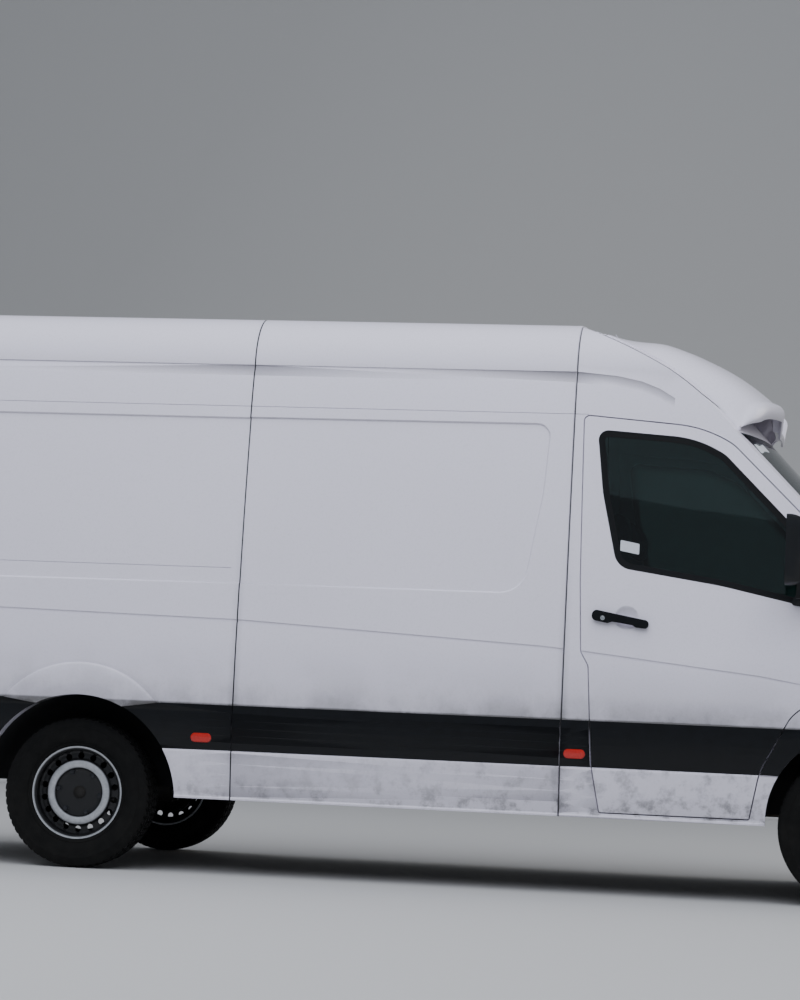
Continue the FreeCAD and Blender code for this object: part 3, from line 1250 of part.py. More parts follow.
def front_suspension():
    """Cross-member with the arms, upright pins and struts that carry both steering knuckles."""
    x = FRONT_AXLE_X
    beam = box(x - 70, x + 70, -RAIL_OUTER_Y, RAIL_OUTER_Y, 300, CAB_FLOOR_Z - FLOOR_THICK - 120)
    parts = [beam]
    low = TYRE_R - KNUCKLE_HALF
    high = TYRE_R + KNUCKLE_HALF
    for side in (-1, 1):
        k = side * KINGPIN_Y
        root = side * (RAIL_OUTER_Y - 20)
        neck = side * (KINGPIN_Y - 90)
        for z0, z1, half, root in ((low - 20, low, 110, root), (high, high + 20, 70, side * RAIL_OUTER_Y)):
            corners = [(x - half, root, 0), (x + half, root, 0), (x + 26, neck, 0), (x + 26, k, 0),
                       (x - 26, k, 0), (x - 26, neck, 0)]
            parts.append(plan_prism(corners, z0, z1))
            parts.append(rod((x, k, z0), (x, k, z1), 26))
        parts.append(box(x - 110, x + 110, side * (RAIL_OUTER_Y - 20), side * (RAIL_OUTER_Y - 80), low - 20,
                         310))
        parts.append(box(x - 70, x + 70, side * RAIL_OUTER_Y, side * (RAIL_OUTER_Y + 30), 400, high + 20))
        parts.append(rod((x, k, low - 5), (x, k, low + 44), KINGPIN_R))
        parts.append(rod((x, k, high - 44), (x, k, high + 5), KINGPIN_R))
        strut_y = side * (KINGPIN_Y - 150)
        top = FRONT_ARCH_Z + FRONT_ARCH_R - 4.7
        parts.append(rod((x, strut_y, high + 10), (x, strut_y, top - 8), 27))
        parts.append(rod((x, strut_y, top - 10), (x, strut_y, top), 60))
    rack = rod((x - 130, -RAIL_INNER_Y + 5, 330), (x - 130, RAIL_INNER_Y - 5, 330), 30)
    mount = [box(x - 150, x - 60, side * 300 - 30, side * 300 + 30, 320, 345) for side in (-1, 1)]
    return union(parts + [rack] + mount)


def steering_knuckle():
    """Right knuckle: upright bored for both pins, stub axle and brake backing plate."""
    x = FRONT_AXLE_X
    y = -KINGPIN_Y
    low = TYRE_R - KNUCKLE_HALF + RUN_GAP
    high = TYRE_R + KNUCKLE_HALF - RUN_GAP
    upright = rod((x, y, low), (x, y, high), 25)
    bridge = box(x - 40, x + 40, y - 28, y + 10, TYRE_R - 60, TYRE_R + 60)
    stub = rod((x, y, TYRE_R), (x, -WHEEL_Y - 46, TYRE_R), HUB_R)
    sleeve = rod((x, y, TYRE_R), (x, -WHEEL_Y - 20, TYRE_R), AXLE_TUBE_R)
    plate = rod((x, -WHEEL_Y + 28, TYRE_R), (x, -WHEEL_Y + 8, TYRE_R), 145)
    body = union([upright, bridge, stub, sleeve, plate])
    for z0, z1 in ((low - 5, low + 50), (high - 50, high + 5)):
        body = body.cut(rod((x, y, z0), (x, y, z1), KINGPIN_R + RUN_GAP))
    return body


def spun(profile, x, y, outward):
    """Profile of (radius, offset) pairs spun round an axle; offset runs outwards from the wheel's middle."""
    points = [(x, y + outward * offset, TYRE_R + radius) for radius, offset in profile]
    wire = Part.makePolygon([V(*p) for p in points + [points[0]]])
    return Part.Face(wire).revolve(V(x, y, TYRE_R), V(0, 1, 0), 360)


def rim(x, side):
    y = side * WHEEL_Y
    wheel = spun(RIM_PROFILE, x, y, side)
    for i in range(VENT_COUNT):
        angle = math.radians(360 / VENT_COUNT * (i + 0.5))
        vx = x + VENT_CIRCLE_R * math.cos(angle)
        vz = TYRE_R + VENT_CIRCLE_R * math.sin(angle)
        y0, y1 = sorted((y + side * 18, y + side * 60))
        wheel = wheel.cut(rod((vx, y0, vz), (vx, y1, vz), VENT_R))
    return wheel


def tyre(x, side):
    """Tyre section with arcs for the side walls."""
    y = side * WHEEL_Y

    def at(radius, offset):
        return (x, y + side * offset, TYRE_R + radius)
    seat = RIM_R + RUN_GAP
    lip = RIM_FLANGE_R + 1
    half = TYRE_WIDTH / 2
    shoulder = TYRE_R - 16
    crown = TYRE_R - 4
    bulge = TYRE_R - 71
    edges = [
        line(at(seat, -78), at(seat, 78)), line(at(seat, 78), at(lip, 79)), line(at(lip, 79), at(lip + 2, 92)),
        arc(at(lip + 2, 92), at(bulge, half), at(shoulder, half - 16.5)),
        line(at(shoulder, half - 16.5), at(crown, half - 27.5)),
        arc(at(crown, half - 27.5), at(TYRE_R, 0), at(crown, 27.5 - half)),
        line(at(crown, 27.5 - half), at(shoulder, 16.5 - half)),
        arc(at(shoulder, 16.5 - half), at(bulge, -half), at(lip + 2, -92)), line(at(lip + 2, -92), at(lip, -79)),
        line(at(lip, -79), at(seat, -78)),
    ]
    return Part.Face(Part.Wire(edges)).revolve(V(x, y, TYRE_R), V(0, 1, 0), 360)


def spare_wheel():
    x = BODY_TAIL_X + 605
    z0 = FLOOR_Z - FLOOR_THICK - TYRE_WIDTH
    body = rod((x, 0, z0), (x, 0, z0 + TYRE_WIDTH), TYRE_R)
    well = rod((x, 0, z0 - 1), (x, 0, z0 + 70), RIM_R)
    return body.makeFillet(40, [body.Edges[0], body.Edges[2]]).cut(well)


def fuel_tank():
    corners = ((-420, 380, 50), (380, 380, 50), (380, 640, 0), (-420, 640, 0))
    return side_prism(corners, RAIL_OUTER_Y + 10, HALF_WIDTH - 130)


def pipe(points, radius):
    """Bent pipe: straight runs with a ball in each bend."""
    parts = [rod(points[i], points[i + 1], radius) for i in range(len(points) - 1)]
    parts += [Part.makeSphere(radius * 1.03, V(*point)) for point in points[1:-1]]
    return union(parts)


def exhaust():
    """Pipe from the engine to a silencer and a tail pipe ahead of the rear wheel."""
    z = 455
    z_pipe = 400
    y = -250
    y_out = -RAIL_OUTER_Y - 140
    front = pipe([(1986, y, 510), (1850, y, 492), (1750, y, z_pipe), (700, y, z_pipe), (490, y_out, z_pipe)],
                 PIPE_R)
    silencer = side_prism(((-420, z - 90, 60), (500, z - 90, 60), (500, z + 90, 60), (-420, z + 90, 60)),
                          y_out - 110, y_out + 110)
    tail = pipe([(-410, y_out, z), (-780, y_out, z), (-900, -HALF_WIDTH + 134, z - 60)], PIPE_R)
    hangers = [box(px - 12, px + 12, y_out - 60, y_out + 60, z + 80, FLOOR_Z - FLOOR_THICK) for px in (-300,
                                                                                                       380)]
    return union([front, silencer, tail] + hangers)


def rear_bumper():
    """Rear step with wrapped ends, on stays from the rails."""
    half = HALF_WIDTH - 30
    corners = ((TAIL_X, -half, 60), (BODY_TAIL_X + 260, -half, 0), (BODY_TAIL_X + 260, -half + 40, 0),
               (BODY_TAIL_X + 4, -half + 40, 40),
               (BODY_TAIL_X + 4, half - 40, 40), (BODY_TAIL_X + 260, half - 40, 0),
               (BODY_TAIL_X + 260, half, 0), (TAIL_X, half, 60))
    step = plan_prism(corners, BUMPER_REAR_LOW_Z, BUMPER_REAR_HIGH_Z)
    stays = []
    for side in (-1, 1):
        y0, y1 = sorted((side * RAIL_INNER_Y, side * RAIL_OUTER_Y))
        stays.append(box(BODY_TAIL_X, BODY_TAIL_X + WALL + 24, y0, y1, 522, BUMPER_REAR_HIGH_Z - 4))
    return union([step] + stays)


def main():
    os.makedirs("parts", exist_ok=True)
    panel = side_panel()
    save("side_panel_right", panel)
    save("sliding_door", sliding_door())
    save("rear_quarter_right", rear_quarter(False))
    save("rear_quarter_left", mirrored(rear_quarter(True)))
    save("load_roof", load_roof())
    save("cab_roof", cab_roof())
    frame = cab_frame()
    save("cab_frame_right", frame)
    save("cab_frame_left", mirrored(frame))
    wing = front_wing()
    save("front_wings", [wing, mirrored(wing)])
    save("front_bumper", front_bumper())
    save("grille", grille())
    lamp = headlamp()
    save("headlamps", [lamp, mirrored(lamp)])
    save("windscreen", windscreen())
    save("cowl", cowl())
    save("wipers", wipers())
    save("bonnet", bonnet())
    door = front_door()
    glass = door_glass()
    wing_mirror = door_mirror()
    rear = rear_door()
    for name, place in (("right", lambda s: s), ("left", mirrored)):
        save("front_door_" + name, place(door))
        save("door_glass_" + name, place(glass))
        save("door_mirror_" + name, place(wing_mirror))
        save("rear_door_" + name, place(rear))
        save("steering_knuckle_" + name, place(steering_knuckle()))
    lens = tail_lamp()
    save("tail_lamps", [lens, mirrored(lens)])
    save("load_floor", load_floor())
    liners = [arch_liner(REAR_AXLE_X + 4, REAR_ARCH_Z, REAR_ARCH_R, HOUSING_Y, load_body(WALL + RUN_GAP), 60,
                         410),
              arch_liner(FRONT_AXLE_X, FRONT_ARCH_Z, FRONT_ARCH_R, TUNNEL_HALF, cab_body(WING_WALL), 130, 500)]
    save("wheel_arch_liners", liners + [mirrored(liner) for liner in liners])
    save("bulkhead", bulkhead())
    save("cab_floor", cab_floor())
    save("dashboard", dashboard())
    save("seat_frames", seat_frames())
    save("seat_cushions", seat_cushions())
    save("seat_backs", seat_backs())
    save("steering_wheel", steering_wheel())
    save("engine", engine())
    save("cooling_pack", cooling_pack())
    save("chassis_rails", chassis_rails())
    save("rear_axle", rear_axle())
    save("propshaft", propshaft())
    save("rear_springs", [rear_spring(-1), rear_spring(1)])
    save("front_suspension", front_suspension())
    save("spare_wheel", spare_wheel())
    save("fuel_tank", fuel_tank())
    save("exhaust", exhaust())
    save("rear_bumper", rear_bumper())
    for end, x in (("front", FRONT_AXLE_X), ("rear", REAR_AXLE_X)):
        for name, side in (("right", -1), ("left", 1)):
            save("rim_" + end + "_" + name, rim(x, side))
            save("tyre_" + end + "_" + name, tyre(x, side))


if __name__ == "__main__":
    main()
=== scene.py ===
"""Looks of a white high-roof panel van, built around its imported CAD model.

Metres; X runs forwards, Y to the left, Z up from the ground.
"""

import json
import logging
import math
from dataclasses import dataclass, field
from enum import Enum
from typing import Any, Callable, Iterable, Sequence

import bmesh
import bpy
import numpy as np
from mathutils import Matrix, Vector
from mathutils.bvhtree import BVHTree

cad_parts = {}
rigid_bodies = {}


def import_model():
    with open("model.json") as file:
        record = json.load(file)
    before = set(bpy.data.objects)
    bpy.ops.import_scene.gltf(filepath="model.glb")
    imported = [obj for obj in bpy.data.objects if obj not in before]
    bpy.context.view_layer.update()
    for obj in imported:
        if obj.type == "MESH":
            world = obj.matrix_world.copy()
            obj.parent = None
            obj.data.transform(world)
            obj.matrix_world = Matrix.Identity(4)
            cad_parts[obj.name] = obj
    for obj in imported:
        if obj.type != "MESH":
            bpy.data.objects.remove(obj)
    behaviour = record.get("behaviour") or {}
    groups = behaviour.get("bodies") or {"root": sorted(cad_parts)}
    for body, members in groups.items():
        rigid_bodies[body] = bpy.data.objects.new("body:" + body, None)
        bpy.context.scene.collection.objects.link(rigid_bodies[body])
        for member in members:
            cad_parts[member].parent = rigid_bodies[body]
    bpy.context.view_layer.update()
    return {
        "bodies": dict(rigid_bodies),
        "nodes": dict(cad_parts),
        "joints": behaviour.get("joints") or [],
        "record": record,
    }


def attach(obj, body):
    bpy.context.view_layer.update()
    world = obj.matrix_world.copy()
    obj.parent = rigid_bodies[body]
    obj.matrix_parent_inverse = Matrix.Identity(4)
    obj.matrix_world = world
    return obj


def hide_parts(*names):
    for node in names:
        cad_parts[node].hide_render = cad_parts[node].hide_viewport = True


LOG = logging.getLogger("panel_van")
Point = tuple[float, float, float]
Pair = tuple[float, float]
Quad = tuple[float, float, float, float]
Tree = bpy.types.NodeTree
Node = bpy.types.Node
Socket = bpy.types.NodeSocket
Piece = bpy.types.Object
Mesh = bpy.types.Mesh
Work = bmesh.types.BMesh
Corner = bmesh.types.BMVert
SIDES: tuple[tuple[str, int], ...] = (("right", -1), ("left", 1))
BASE = "body"
MERGE = 1e-5
TINY = 1e-12
ROUND_ANGLE = 35.0
WAVE = 6.28
FRAME: dict[str, Any] = {}
HIT_TREES: dict[str, BVHTree] = {}


# Node helpers and colours


def linear(code: str, alpha: float = 1.0) -> Quad:
    """Turn an sRGB hex colour into linear values.

    Args:
        code: Colour such as "#d8d8e0".
        alpha: Opacity added as the fourth value.

    Returns:
        Red, green, blue and alpha.
    """
    parts = [int(code[i:i + 2], 16) / 255 for i in (1, 3, 5)]
    rgb = [p / 12.92 if p <= 0.04045 else ((p + 0.055) / 1.055) ** 2.4 for p in parts]
    return (rgb[0], rgb[1], rgb[2], alpha)


def node(tree: Tree, kind: str, links: dict[Any, Any] | None = None, **settings: Any) -> Node:
    """Add one node with its settings, and set or link its inputs.

    Args:
        tree: Tree that gets the node.
        kind: Blender's type name of the node.
        links: Input name or number to a value or to the output socket that feeds it.
        settings: Attributes of the node.

    Returns:
        The new node.
    """
    made = tree.nodes.new(kind)
    for key, value in settings.items():
        setattr(made, key, value)
    for key, value in (links or {}).items():
        if isinstance(value, Socket):
            tree.links.new(value, made.inputs[key])
        else:
            made.inputs[key].default_value = value
    return made


def compute(tree: Tree, operation: str, *values: Any, clamp: bool = False) -> Socket:
    """Result of one sum on values or sockets."""
    made = node(tree, "ShaderNodeMath", dict(enumerate(values)), operation=operation, use_clamp=clamp)
    return made.outputs[0]


def blend(tree: Tree, share: Any, lower: Any, upper: Any) -> Socket:
    """Colour that lies between two others by a share."""
    made = node(tree, "ShaderNodeMix", {"Factor": share, 6: lower, 7: upper}, data_type="RGBA")
    return made.outputs[2]


def spread(tree: Tree, value: Any, low: float, high: float, start: float = 0.0, end: float = 1.0,
           kind: str = "LINEAR") -> Socket:
    """Value mapped from low and high to start and end."""
    made = node(tree, "ShaderNodeMapRange",
                {"Value": value, "From Min": low, "From Max": high, "To Min": start, "To Max": end},
                interpolation_type=kind)
    return made.outputs[0]


def noise(tree: Tree, place: Any, scale: float, detail: float, rough: float = 0.5) -> Socket:
    """Noise value at a scale."""
    made = node(tree, "ShaderNodeTexNoise",
                {"Vector": place, "Scale": scale, "Detail": detail, "Roughness": rough})
    return made.outputs["Fac"]


def raise_surface(tree: Tree, shader: Node, height: Any, strength: float, metres: float) -> None:
    """Bump the shader's surface by a height."""
    bump = node(tree, "ShaderNodeBump", {"Height": height, "Strength": strength, "Distance": metres})
    tree.links.new(bump.outputs["Normal"], shader.inputs["Normal"])


@dataclass(frozen=True)
class Finish:
    """A surface finish: its name, colour and gloss, and the bump of its grain."""

    name: str
    colour: str
    roughness: float
    metallic: float = 0.0
    grain_mm: float = 0.0
    grain_depth_mm: float = 0.0
    mottle: float = 0.0
    mottle_mm: float = 60.0
    film: float = 0.0
    film_colour: str = "#5c5952"
    coat: float = 0.0
    specular: float = 0.5
    cloud_range: Pair = (0.3, 0.7)
    film_height: Pair = (1.1, 0.3)

    def build(self) -> bpy.types.Material:
        """Make the material once and return it."""
        found = bpy.data.materials.get(self.name)
        if found:
            return found
        material = bpy.data.materials.new(self.name)
        material.use_nodes = True
        tree = material.node_tree
        shader = tree.nodes["Principled BSDF"]
        shader.inputs["Base Color"].default_value = linear(self.colour)
        shader.inputs["Roughness"].default_value = self.roughness
        shader.inputs["Metallic"].default_value = self.metallic
        shader.inputs["Coat Weight"].default_value = self.coat
        shader.inputs["Specular IOR Level"].default_value = self.specular
        place = node(tree, "ShaderNodeTexCoord").outputs["Object"]
        self.dress(tree, shader, place)
        return material

    def dress(self, tree: Tree, shader: Node, place: Socket) -> None:
        """Add colour change, road film and grain to the shader.

        Args:
            tree: The material's tree.
            shader: Its Principled shader.
            place: Object coordinates.
        """
        colour: Any = linear(self.colour)
        if self.mottle:
            cloud = noise(tree, place, 1000 / self.mottle_mm, 5.0)
            dark = tuple(c * (1 - self.mottle) for c in colour[:3]) + (1.0,)
            light = tuple(min(1.0, c * (1 + self.mottle)) for c in colour[:3]) + (1.0,)
            colour = blend(tree, spread(tree, cloud, *self.cloud_range), dark, light)
            rough = spread(tree, cloud, *self.cloud_range, self.roughness * (1 - self.mottle / 2),
                           min(1.0, self.roughness * (1 + self.mottle / 2)))
            tree.links.new(rough, shader.inputs["Roughness"])
        if self.film:
            colour = self.film_over(tree, place, colour)
        if isinstance(colour, Socket):
            tree.links.new(colour, shader.inputs["Base Color"])
        if self.grain_mm:
            raise_surface(tree, shader, noise(tree, place, 1000 / self.grain_mm, 2.0), 0.5,
                          self.grain_depth_mm / 1000)

    def film_over(self, tree: Tree, place: Socket, colour: Any) -> Socket:
        """Lay uneven road film over a colour, more of it low down.

        Args:
            tree: The material's tree.
            place: Object coordinates.
            colour: The clean colour or its socket.

        Returns:
            The colour with the film.
        """
        height = node(tree, "ShaderNodeSeparateXYZ", {"Vector": place}).outputs["Z"]
        share = compute(tree, "MULTIPLY", spread(tree, height, *self.film_height),
                        noise(tree, place, 9.0, 7.0, 0.65))
        share = compute(tree, "MULTIPLY", share, self.film * 1.6, clamp=True)
        return blend(tree, share, colour, linear(self.film_colour))


@dataclass(frozen=True)
class BodyEnamel(Finish):
    """White two-pack enamel sprayed on pressed steel, with grey road film that thickens towards the sill,
    painted shade along the strip's top edge and in the seams, and a painted highlight on the sill's lip.
    """

    seams: tuple[float, ...] = (-0.962, 0.594)
    # Near black of the painted shade in the seam grooves.
    seam_shade_colour: str = "#0b0b0d"
    strip_top: Pair = (0.700, 0.790)
    sill_top: Pair = (0.600, 0.586)
    # Band of the sill's lip kept clear of film, so that it reads as a painted highlight.
    lip_highlight_top: Pair = (0.372, 0.364)

    def film_over(self, tree: Tree, place: Socket, colour: Any) -> Socket:
        """Lay the van's road film: a veil under the crease, soot above the strip, a heavy coat on the sill;
        paint shade along the strip's top edge and in the seams, and keep the sill's lip clear as a painted
        highlight.

        Args:
            tree: The material's tree.
            place: Object coordinates.
            colour: The clean enamel.

        Returns:
            The colour with the film.
        """
        axes = node(tree, "ShaderNodeSeparateXYZ", {"Vector": place})
        x, z = axes.outputs["X"], axes.outputs["Z"]

        def ramp(value: Any, low: float, high: float, top: float = 1.0) -> Socket:
            """Smooth step between two values."""
            return spread(tree, value, low, high, 0.0, top, "SMOOTHSTEP")

        def times(a: Any, b: Any) -> Socket:
            """Product of two values."""
            return compute(tree, "MULTIPLY", a, b)

        def plus(*values: Any) -> Any:
            """Sum of values, kept under one."""
            total = values[0]
            for value in values[1:]:
                total = compute(tree, "ADD", total, value, clamp=True)
            return total

        # Noise patterns: upright streaks, broad clouds, blotches of the sill and fine specks.
        stretched = node(tree, "ShaderNodeMapping", {"Vector": place, "Scale": (9.0, 9.0, 2.6)}).outputs[0]
        streak = ramp(noise(tree, stretched, 1.0, 6.0, 0.7), 0.30, 0.78)
        cloud = ramp(noise(tree, place, 2.6, 6.0, 0.6), 0.34, 0.66)
        patch = ramp(noise(tree, place, 13.0, 8.0, 0.66), 0.44, 0.70)
        speck = ramp(noise(tree, place, 90.0, 3.0, 0.6), 0.45, 0.80)
        # Above the strip: a veil, soot that grows towards the front, and a dark line of painted shade along the
        # strip's top edge.
        uneven = plus(times(cloud, 0.75), times(streak, 0.25))
        forward = plus(ramp(x, -2.6, 1.0, 0.65), 0.35)
        veil = times(ramp(z, 1.15, 0.78), times(plus(uneven, 0.40), 0.30))
        soot = times(ramp(z, 0.94, 0.79), times(forward, plus(times(patch, 0.16), times(uneven, 0.22), 0.14)))
        # Painted shade: the dark line just above the strip stands for the shadow under its step.
        line = times(ramp(z, 0.812, 0.802), 0.55)
        # Along the seams: a grey bloom of dirt that fades upwards, and painted shade: a near-black line in the
        # seam groove itself.
        joint: Any = 0.0
        seam_painted_shade: Any = 0.0
        for seam in self.seams:
            away = compute(tree, "ABSOLUTE", compute(tree, "SUBTRACT", x, seam))
            joint = plus(joint, times(ramp(away, 0.035, 0.004), 0.24))
            # Painted shade: a near-black line along the seam groove, where shade falls.
            seam_painted_shade = plus(seam_painted_shade, ramp(away, 0.0042, 0.0026))
        joint = times(joint, plus(times(ramp(z, 1.9, 0.8), 0.75), times(streak, 0.25)))
        upper = times(ramp(z, *self.strip_top), plus(plus(veil, soot), plus(line, joint)))
        # On the sill: blotches, more of them ahead, a dirty foot, and a lip kept clear of film as a painted
        # highlight.
        sill = times(ramp(z, *self.sill_top),
                     plus(times(patch, plus(times(ramp(x, -1.0, 1.4), 0.34), 0.16)), 0.10))
        foot = times(ramp(z, 0.50, 0.37), times(plus(patch, 0.35), 0.34))
        # Painted highlight: less film on the sill's lip leaves a bright line there.
        lip = compute(tree, "SUBTRACT", 1.0, times(ramp(z, *self.lip_highlight_top), 0.72))
        film = times(plus(upper, plus(times(speck, 0.07), times(plus(sill, foot), lip))), self.film)
        over = blend(tree, film, colour, linear(self.film_colour))
        return blend(tree, times(seam_painted_shade, 0.93), over, linear(self.seam_shade_colour))


@dataclass(frozen=True)
class ClearSheet(Finish):
    """Clear or tinted sheet such as glass and lens plastic."""

    ior: float = 1.5
    lens_mm: float = 0.0

    def dress(self, tree: Tree, shader: Node, place: Socket) -> None:
        """Let light through, with moulded ribs where the sheet is a lens.

        Args:
            tree: The material's tree.
            shader: Its Principled shader.
            place: Object coordinates.
        """
        shader.inputs["Transmission Weight"].default_value = 1.0
        shader.inputs["IOR"].default_value = self.ior
        if self.lens_mm:
            wave = node(tree, "ShaderNodeTexWave", {"Vector": place, "Scale": 1000 / self.lens_mm / WAVE},
                        bands_direction="Z")
            raise_surface(tree, shader, wave.outputs["Fac"], 0.4, 0.002)


@dataclass(frozen=True)
class WovenCloth(Finish):
    """Woven seat cloth: two crossed threads that catch the light on their crowns, with shade painted darker
    into the hollows between them.
    """

    thread_mm: float = 2.4

    def dress(self, tree: Tree, shader: Node, place: Socket) -> None:
        """Weave the threads as bump and as a change of colour that paints the hollows darker as shade.

        Args:
            tree: The material's tree.
            shader: Its Principled shader.
            place: Object coordinates.
        """
        shader.inputs["Sheen Weight"].default_value = 0.35
        shader.inputs["Sheen Roughness"].default_value = 0.5
        crossed = []
        for direction in ("Y", "DIAGONAL"):
            wave = node(tree, "ShaderNodeTexWave", {"Vector": place, "Scale": 1000 / self.thread_mm / WAVE,
                                                   "Distortion": 0.6, "Detail": 1.0}, bands_direction=direction)
            crossed.append(wave.outputs["Fac"])
        weave_relief_and_shade = compute(tree, "MULTIPLY", *crossed)
        # Painted shade: the hollows between the thread crowns are drawn at about half brightness.
        dark = tuple(c * 0.55 for c in linear(self.colour)[:3]) + (1.0,)
        tree.links.new(blend(tree, weave_relief_and_shade, dark, linear(self.colour)), shader.inputs["Base Color"])
        raise_surface(tree, shader, weave_relief_and_shade, 0.6, 0.0008)


@dataclass(frozen=True)
class WheelEnamel(Finish):
    """Silver stoved enamel on a pressed steel disc: bright on the raised rings, near black away from them."""

    axle_x: float = 0.0
    axle_z: float = 0.356
    rings: tuple[Pair, ...] = ((0.119, 0.151), (0.2125, 0.222))
    fade_out: float = 0.004
    fade_in: float = 0.003

    def dress(self, tree: Tree, shader: Node, place: Socket) -> None:
        """Keep the raised rings bright and darken the rest by its distance from the axle.

        Args:
            tree: The material's tree.
            shader: Its Principled shader.
            place: Object coordinates.
        """
        centred = node(tree, "ShaderNodeVectorMath", {0: place, 1: (self.axle_x, 0.0, self.axle_z)},
                       operation="SUBTRACT")
        flat = node(tree, "ShaderNodeVectorMath", {0: centred.outputs[0], 1: (1.0, 0.0, 1.0)},
                    operation="MULTIPLY")
        radius = node(tree, "ShaderNodeVectorMath", {0: flat.outputs[0]}, operation="LENGTH").outputs["Value"]
        clean: Any = 0.0
        for inner, outer in self.rings:
            rise = spread(tree, radius, inner - self.fade_out, inner + self.fade_in, kind="SMOOTHSTEP")
            fall = spread(tree, radius, outer + self.fade_out, outer - self.fade_in, kind="SMOOTHSTEP")
            clean = compute(tree, "ADD", clean, compute(tree, "MULTIPLY", rise, fall), clamp=True)
        worn = spread(tree, noise(tree, place, 38.0, 6.0, 0.7), 0.3, 0.75, 1.0, 0.62)
        clean = compute(tree, "MULTIPLY", clean, worn)
        mixed = blend(tree, clean, linear(self.film_colour), linear(self.colour))
        tree.links.new(mixed, shader.inputs["Base Color"])
        tree.links.new(compute(tree, "MULTIPLY", clean, self.metallic), shader.inputs["Metallic"])


class Finishes:
    """The van's finishes, each named for what the real one is and how it was made."""

    # Broad soft highlights with a lilac cast; the film greys it towards the sill, as on a working van.
    ENAMEL = BodyEnamel("white_enamel_sprayed", "#e2dee9", 0.30, mottle=0.015, mottle_mm=700, film=0.88,
                        film_colour="#44433d", coat=0.35, grain_mm=7.0, grain_depth_mm=0.03)
    # Near black with a satin skin, so that its crown picks up a cold line of sky and its foot stays dark.
    STRIP = Finish("black_polypropylene_satin", "#07090d", 0.36, grain_mm=1.6, grain_depth_mm=0.06, mottle=0.25,
                   mottle_mm=45, film=0.06, film_colour="#33332f", specular=0.32)
    # Grained black plastic that stays matt, with dust in its grain; grain is drawn twice as coarse as real.
    PLASTIC = Finish("black_abs_grained", "#0d0f12", 0.55, grain_mm=2.4, grain_depth_mm=0.2, mottle=0.25,
                     mottle_mm=50, film=0.25, film_colour="#3b3a36")
    # A dull black line with a faint grey bloom where it has weathered.
    SEAL = Finish("black_rubber_extruded", "#08090b", 0.5, mottle=0.15, mottle_mm=30)
    # Saturated red that glows a little at its edges.
    LENS_RED = Finish("red_acrylic_moulded", "#b3180c", 0.22, coat=0.5, mottle=0.12, mottle_mm=9)
    # The flasher's orange and the reversing lamp's milky white, as bands of the same moulding.
    LENS_AMBER = Finish("amber_acrylic_moulded", "#c8660f", 0.22, coat=0.5, mottle=0.12, mottle_mm=9)
    LENS_CLEAR = Finish("frosted_acrylic_moulded", "#b9bdc0", 0.22, coat=0.5, mottle=0.12, mottle_mm=9)
    # Green-grey tint: the cab behind it reads dark and cool, with a faint sky reflection.
    GLASS = ClearSheet("tinted_glass_rolled", "#5a706e", 0.02, ior=1.45)
    # Clear and hard, with fine upright ribs that break up what lies behind.
    LENS = ClearSheet("clear_polycarbonate_moulded", "#eef2f6", 0.03, ior=1.2, lens_mm=9)
    # Soft bright metal that makes a lamp look deep.
    REFLECTOR = Finish("aluminised_plastic_bowl", "#c9ccd0", 0.16, metallic=1.0, mottle=0.12, mottle_mm=18)
    # Dull black that swallows light, with a little brown dust in the pores.
    TYRE = Finish("black_rubber_vulcanised", "#060708", 0.75, grain_mm=2.2, grain_depth_mm=0.3, mottle=0.35,
                  mottle_mm=40, film=0.14, film_colour="#3d3a35", specular=0.22)
    # Waxy black gone grey-brown with road dust.
    CHASSIS = Finish("black_chassis_wax_dusty", "#0b0b0c", 0.62, mottle=0.35, mottle_mm=70, film=0.35,
                     film_colour="#37332d")
    # Dull grey heads gone dark with brake dust.
    ZINC = Finish("zinc_plated_steel_dusty", "#3c3d40", 0.5, metallic=0.8, mottle=0.3, mottle_mm=12)
    # A small bright ring that catches the sky.
    CHROME = Finish("chromed_brass_plated", "#d6dadd", 0.12, metallic=1.0, mottle=0.08, mottle_mm=5)
    # Rough dark casting with a faint metal gleam.
    IRON = Finish("grey_iron_cast", "#2b2b2c", 0.7, metallic=0.6, grain_mm=3.0, grain_depth_mm=0.5, mottle=0.3)
    # Fine metal texture that reads as fins.
    FINS = Finish("aluminium_fins_brazed", "#5f6265", 0.45, metallic=0.9, grain_mm=2.0, grain_depth_mm=0.6,
                  mottle=0.2)
    # Grey pipe with brown heat stains.
    EXHAUST = Finish("aluminised_steel_weathered", "#5b534b", 0.55, metallic=0.8, mottle=0.45, mottle_mm=35)
    # Smooth waxy black of a blown tank.
    TANK = Finish("black_polyethylene_blown", "#0f1012", 0.5, grain_mm=4, grain_depth_mm=0.3, mottle=0.2)
    # Dark leather-grained skin without shine, so that the cab stays dark.
    DASH = Finish("grey_dash_skin_grained", "#15171b", 0.6, grain_mm=2.0, grain_depth_mm=0.3, mottle=0.15)
    # Matt rubber with shoe dust.
    FLOOR_MAT = Finish("rubber_floor_mat_ribbed", "#17181a", 0.75, grain_mm=5.0, grain_depth_mm=0.6,
                       mottle=0.25)
    # Brown coated board with scuffs.
    PLY = Finish("phenolic_floor_plywood", "#3c2f25", 0.5, mottle=0.3, mottle_mm=120, grain_mm=3,
                 grain_depth_mm=0.2)
    # Plain grey paint with a light orange peel.
    WALL = Finish("bulkhead_enamel_grey", "#53555b", 0.5, mottle=0.1, grain_mm=4, grain_depth_mm=0.1)
    # Blue-grey weave with a soft sheen and painted shade between its threads; threads are drawn at 5 mm, three
    # times real, to show at all.
    CLOTH = WovenCloth("seat_cloth_woven", "#2c3850", 0.85, thread_mm=5.0)
    # Soft black grip, slightly polished by hands.
    GRIP = Finish("polyurethane_grip_moulded", "#0c0d0e", 0.5, grain_mm=1.2, grain_depth_mm=0.2, mottle=0.15)
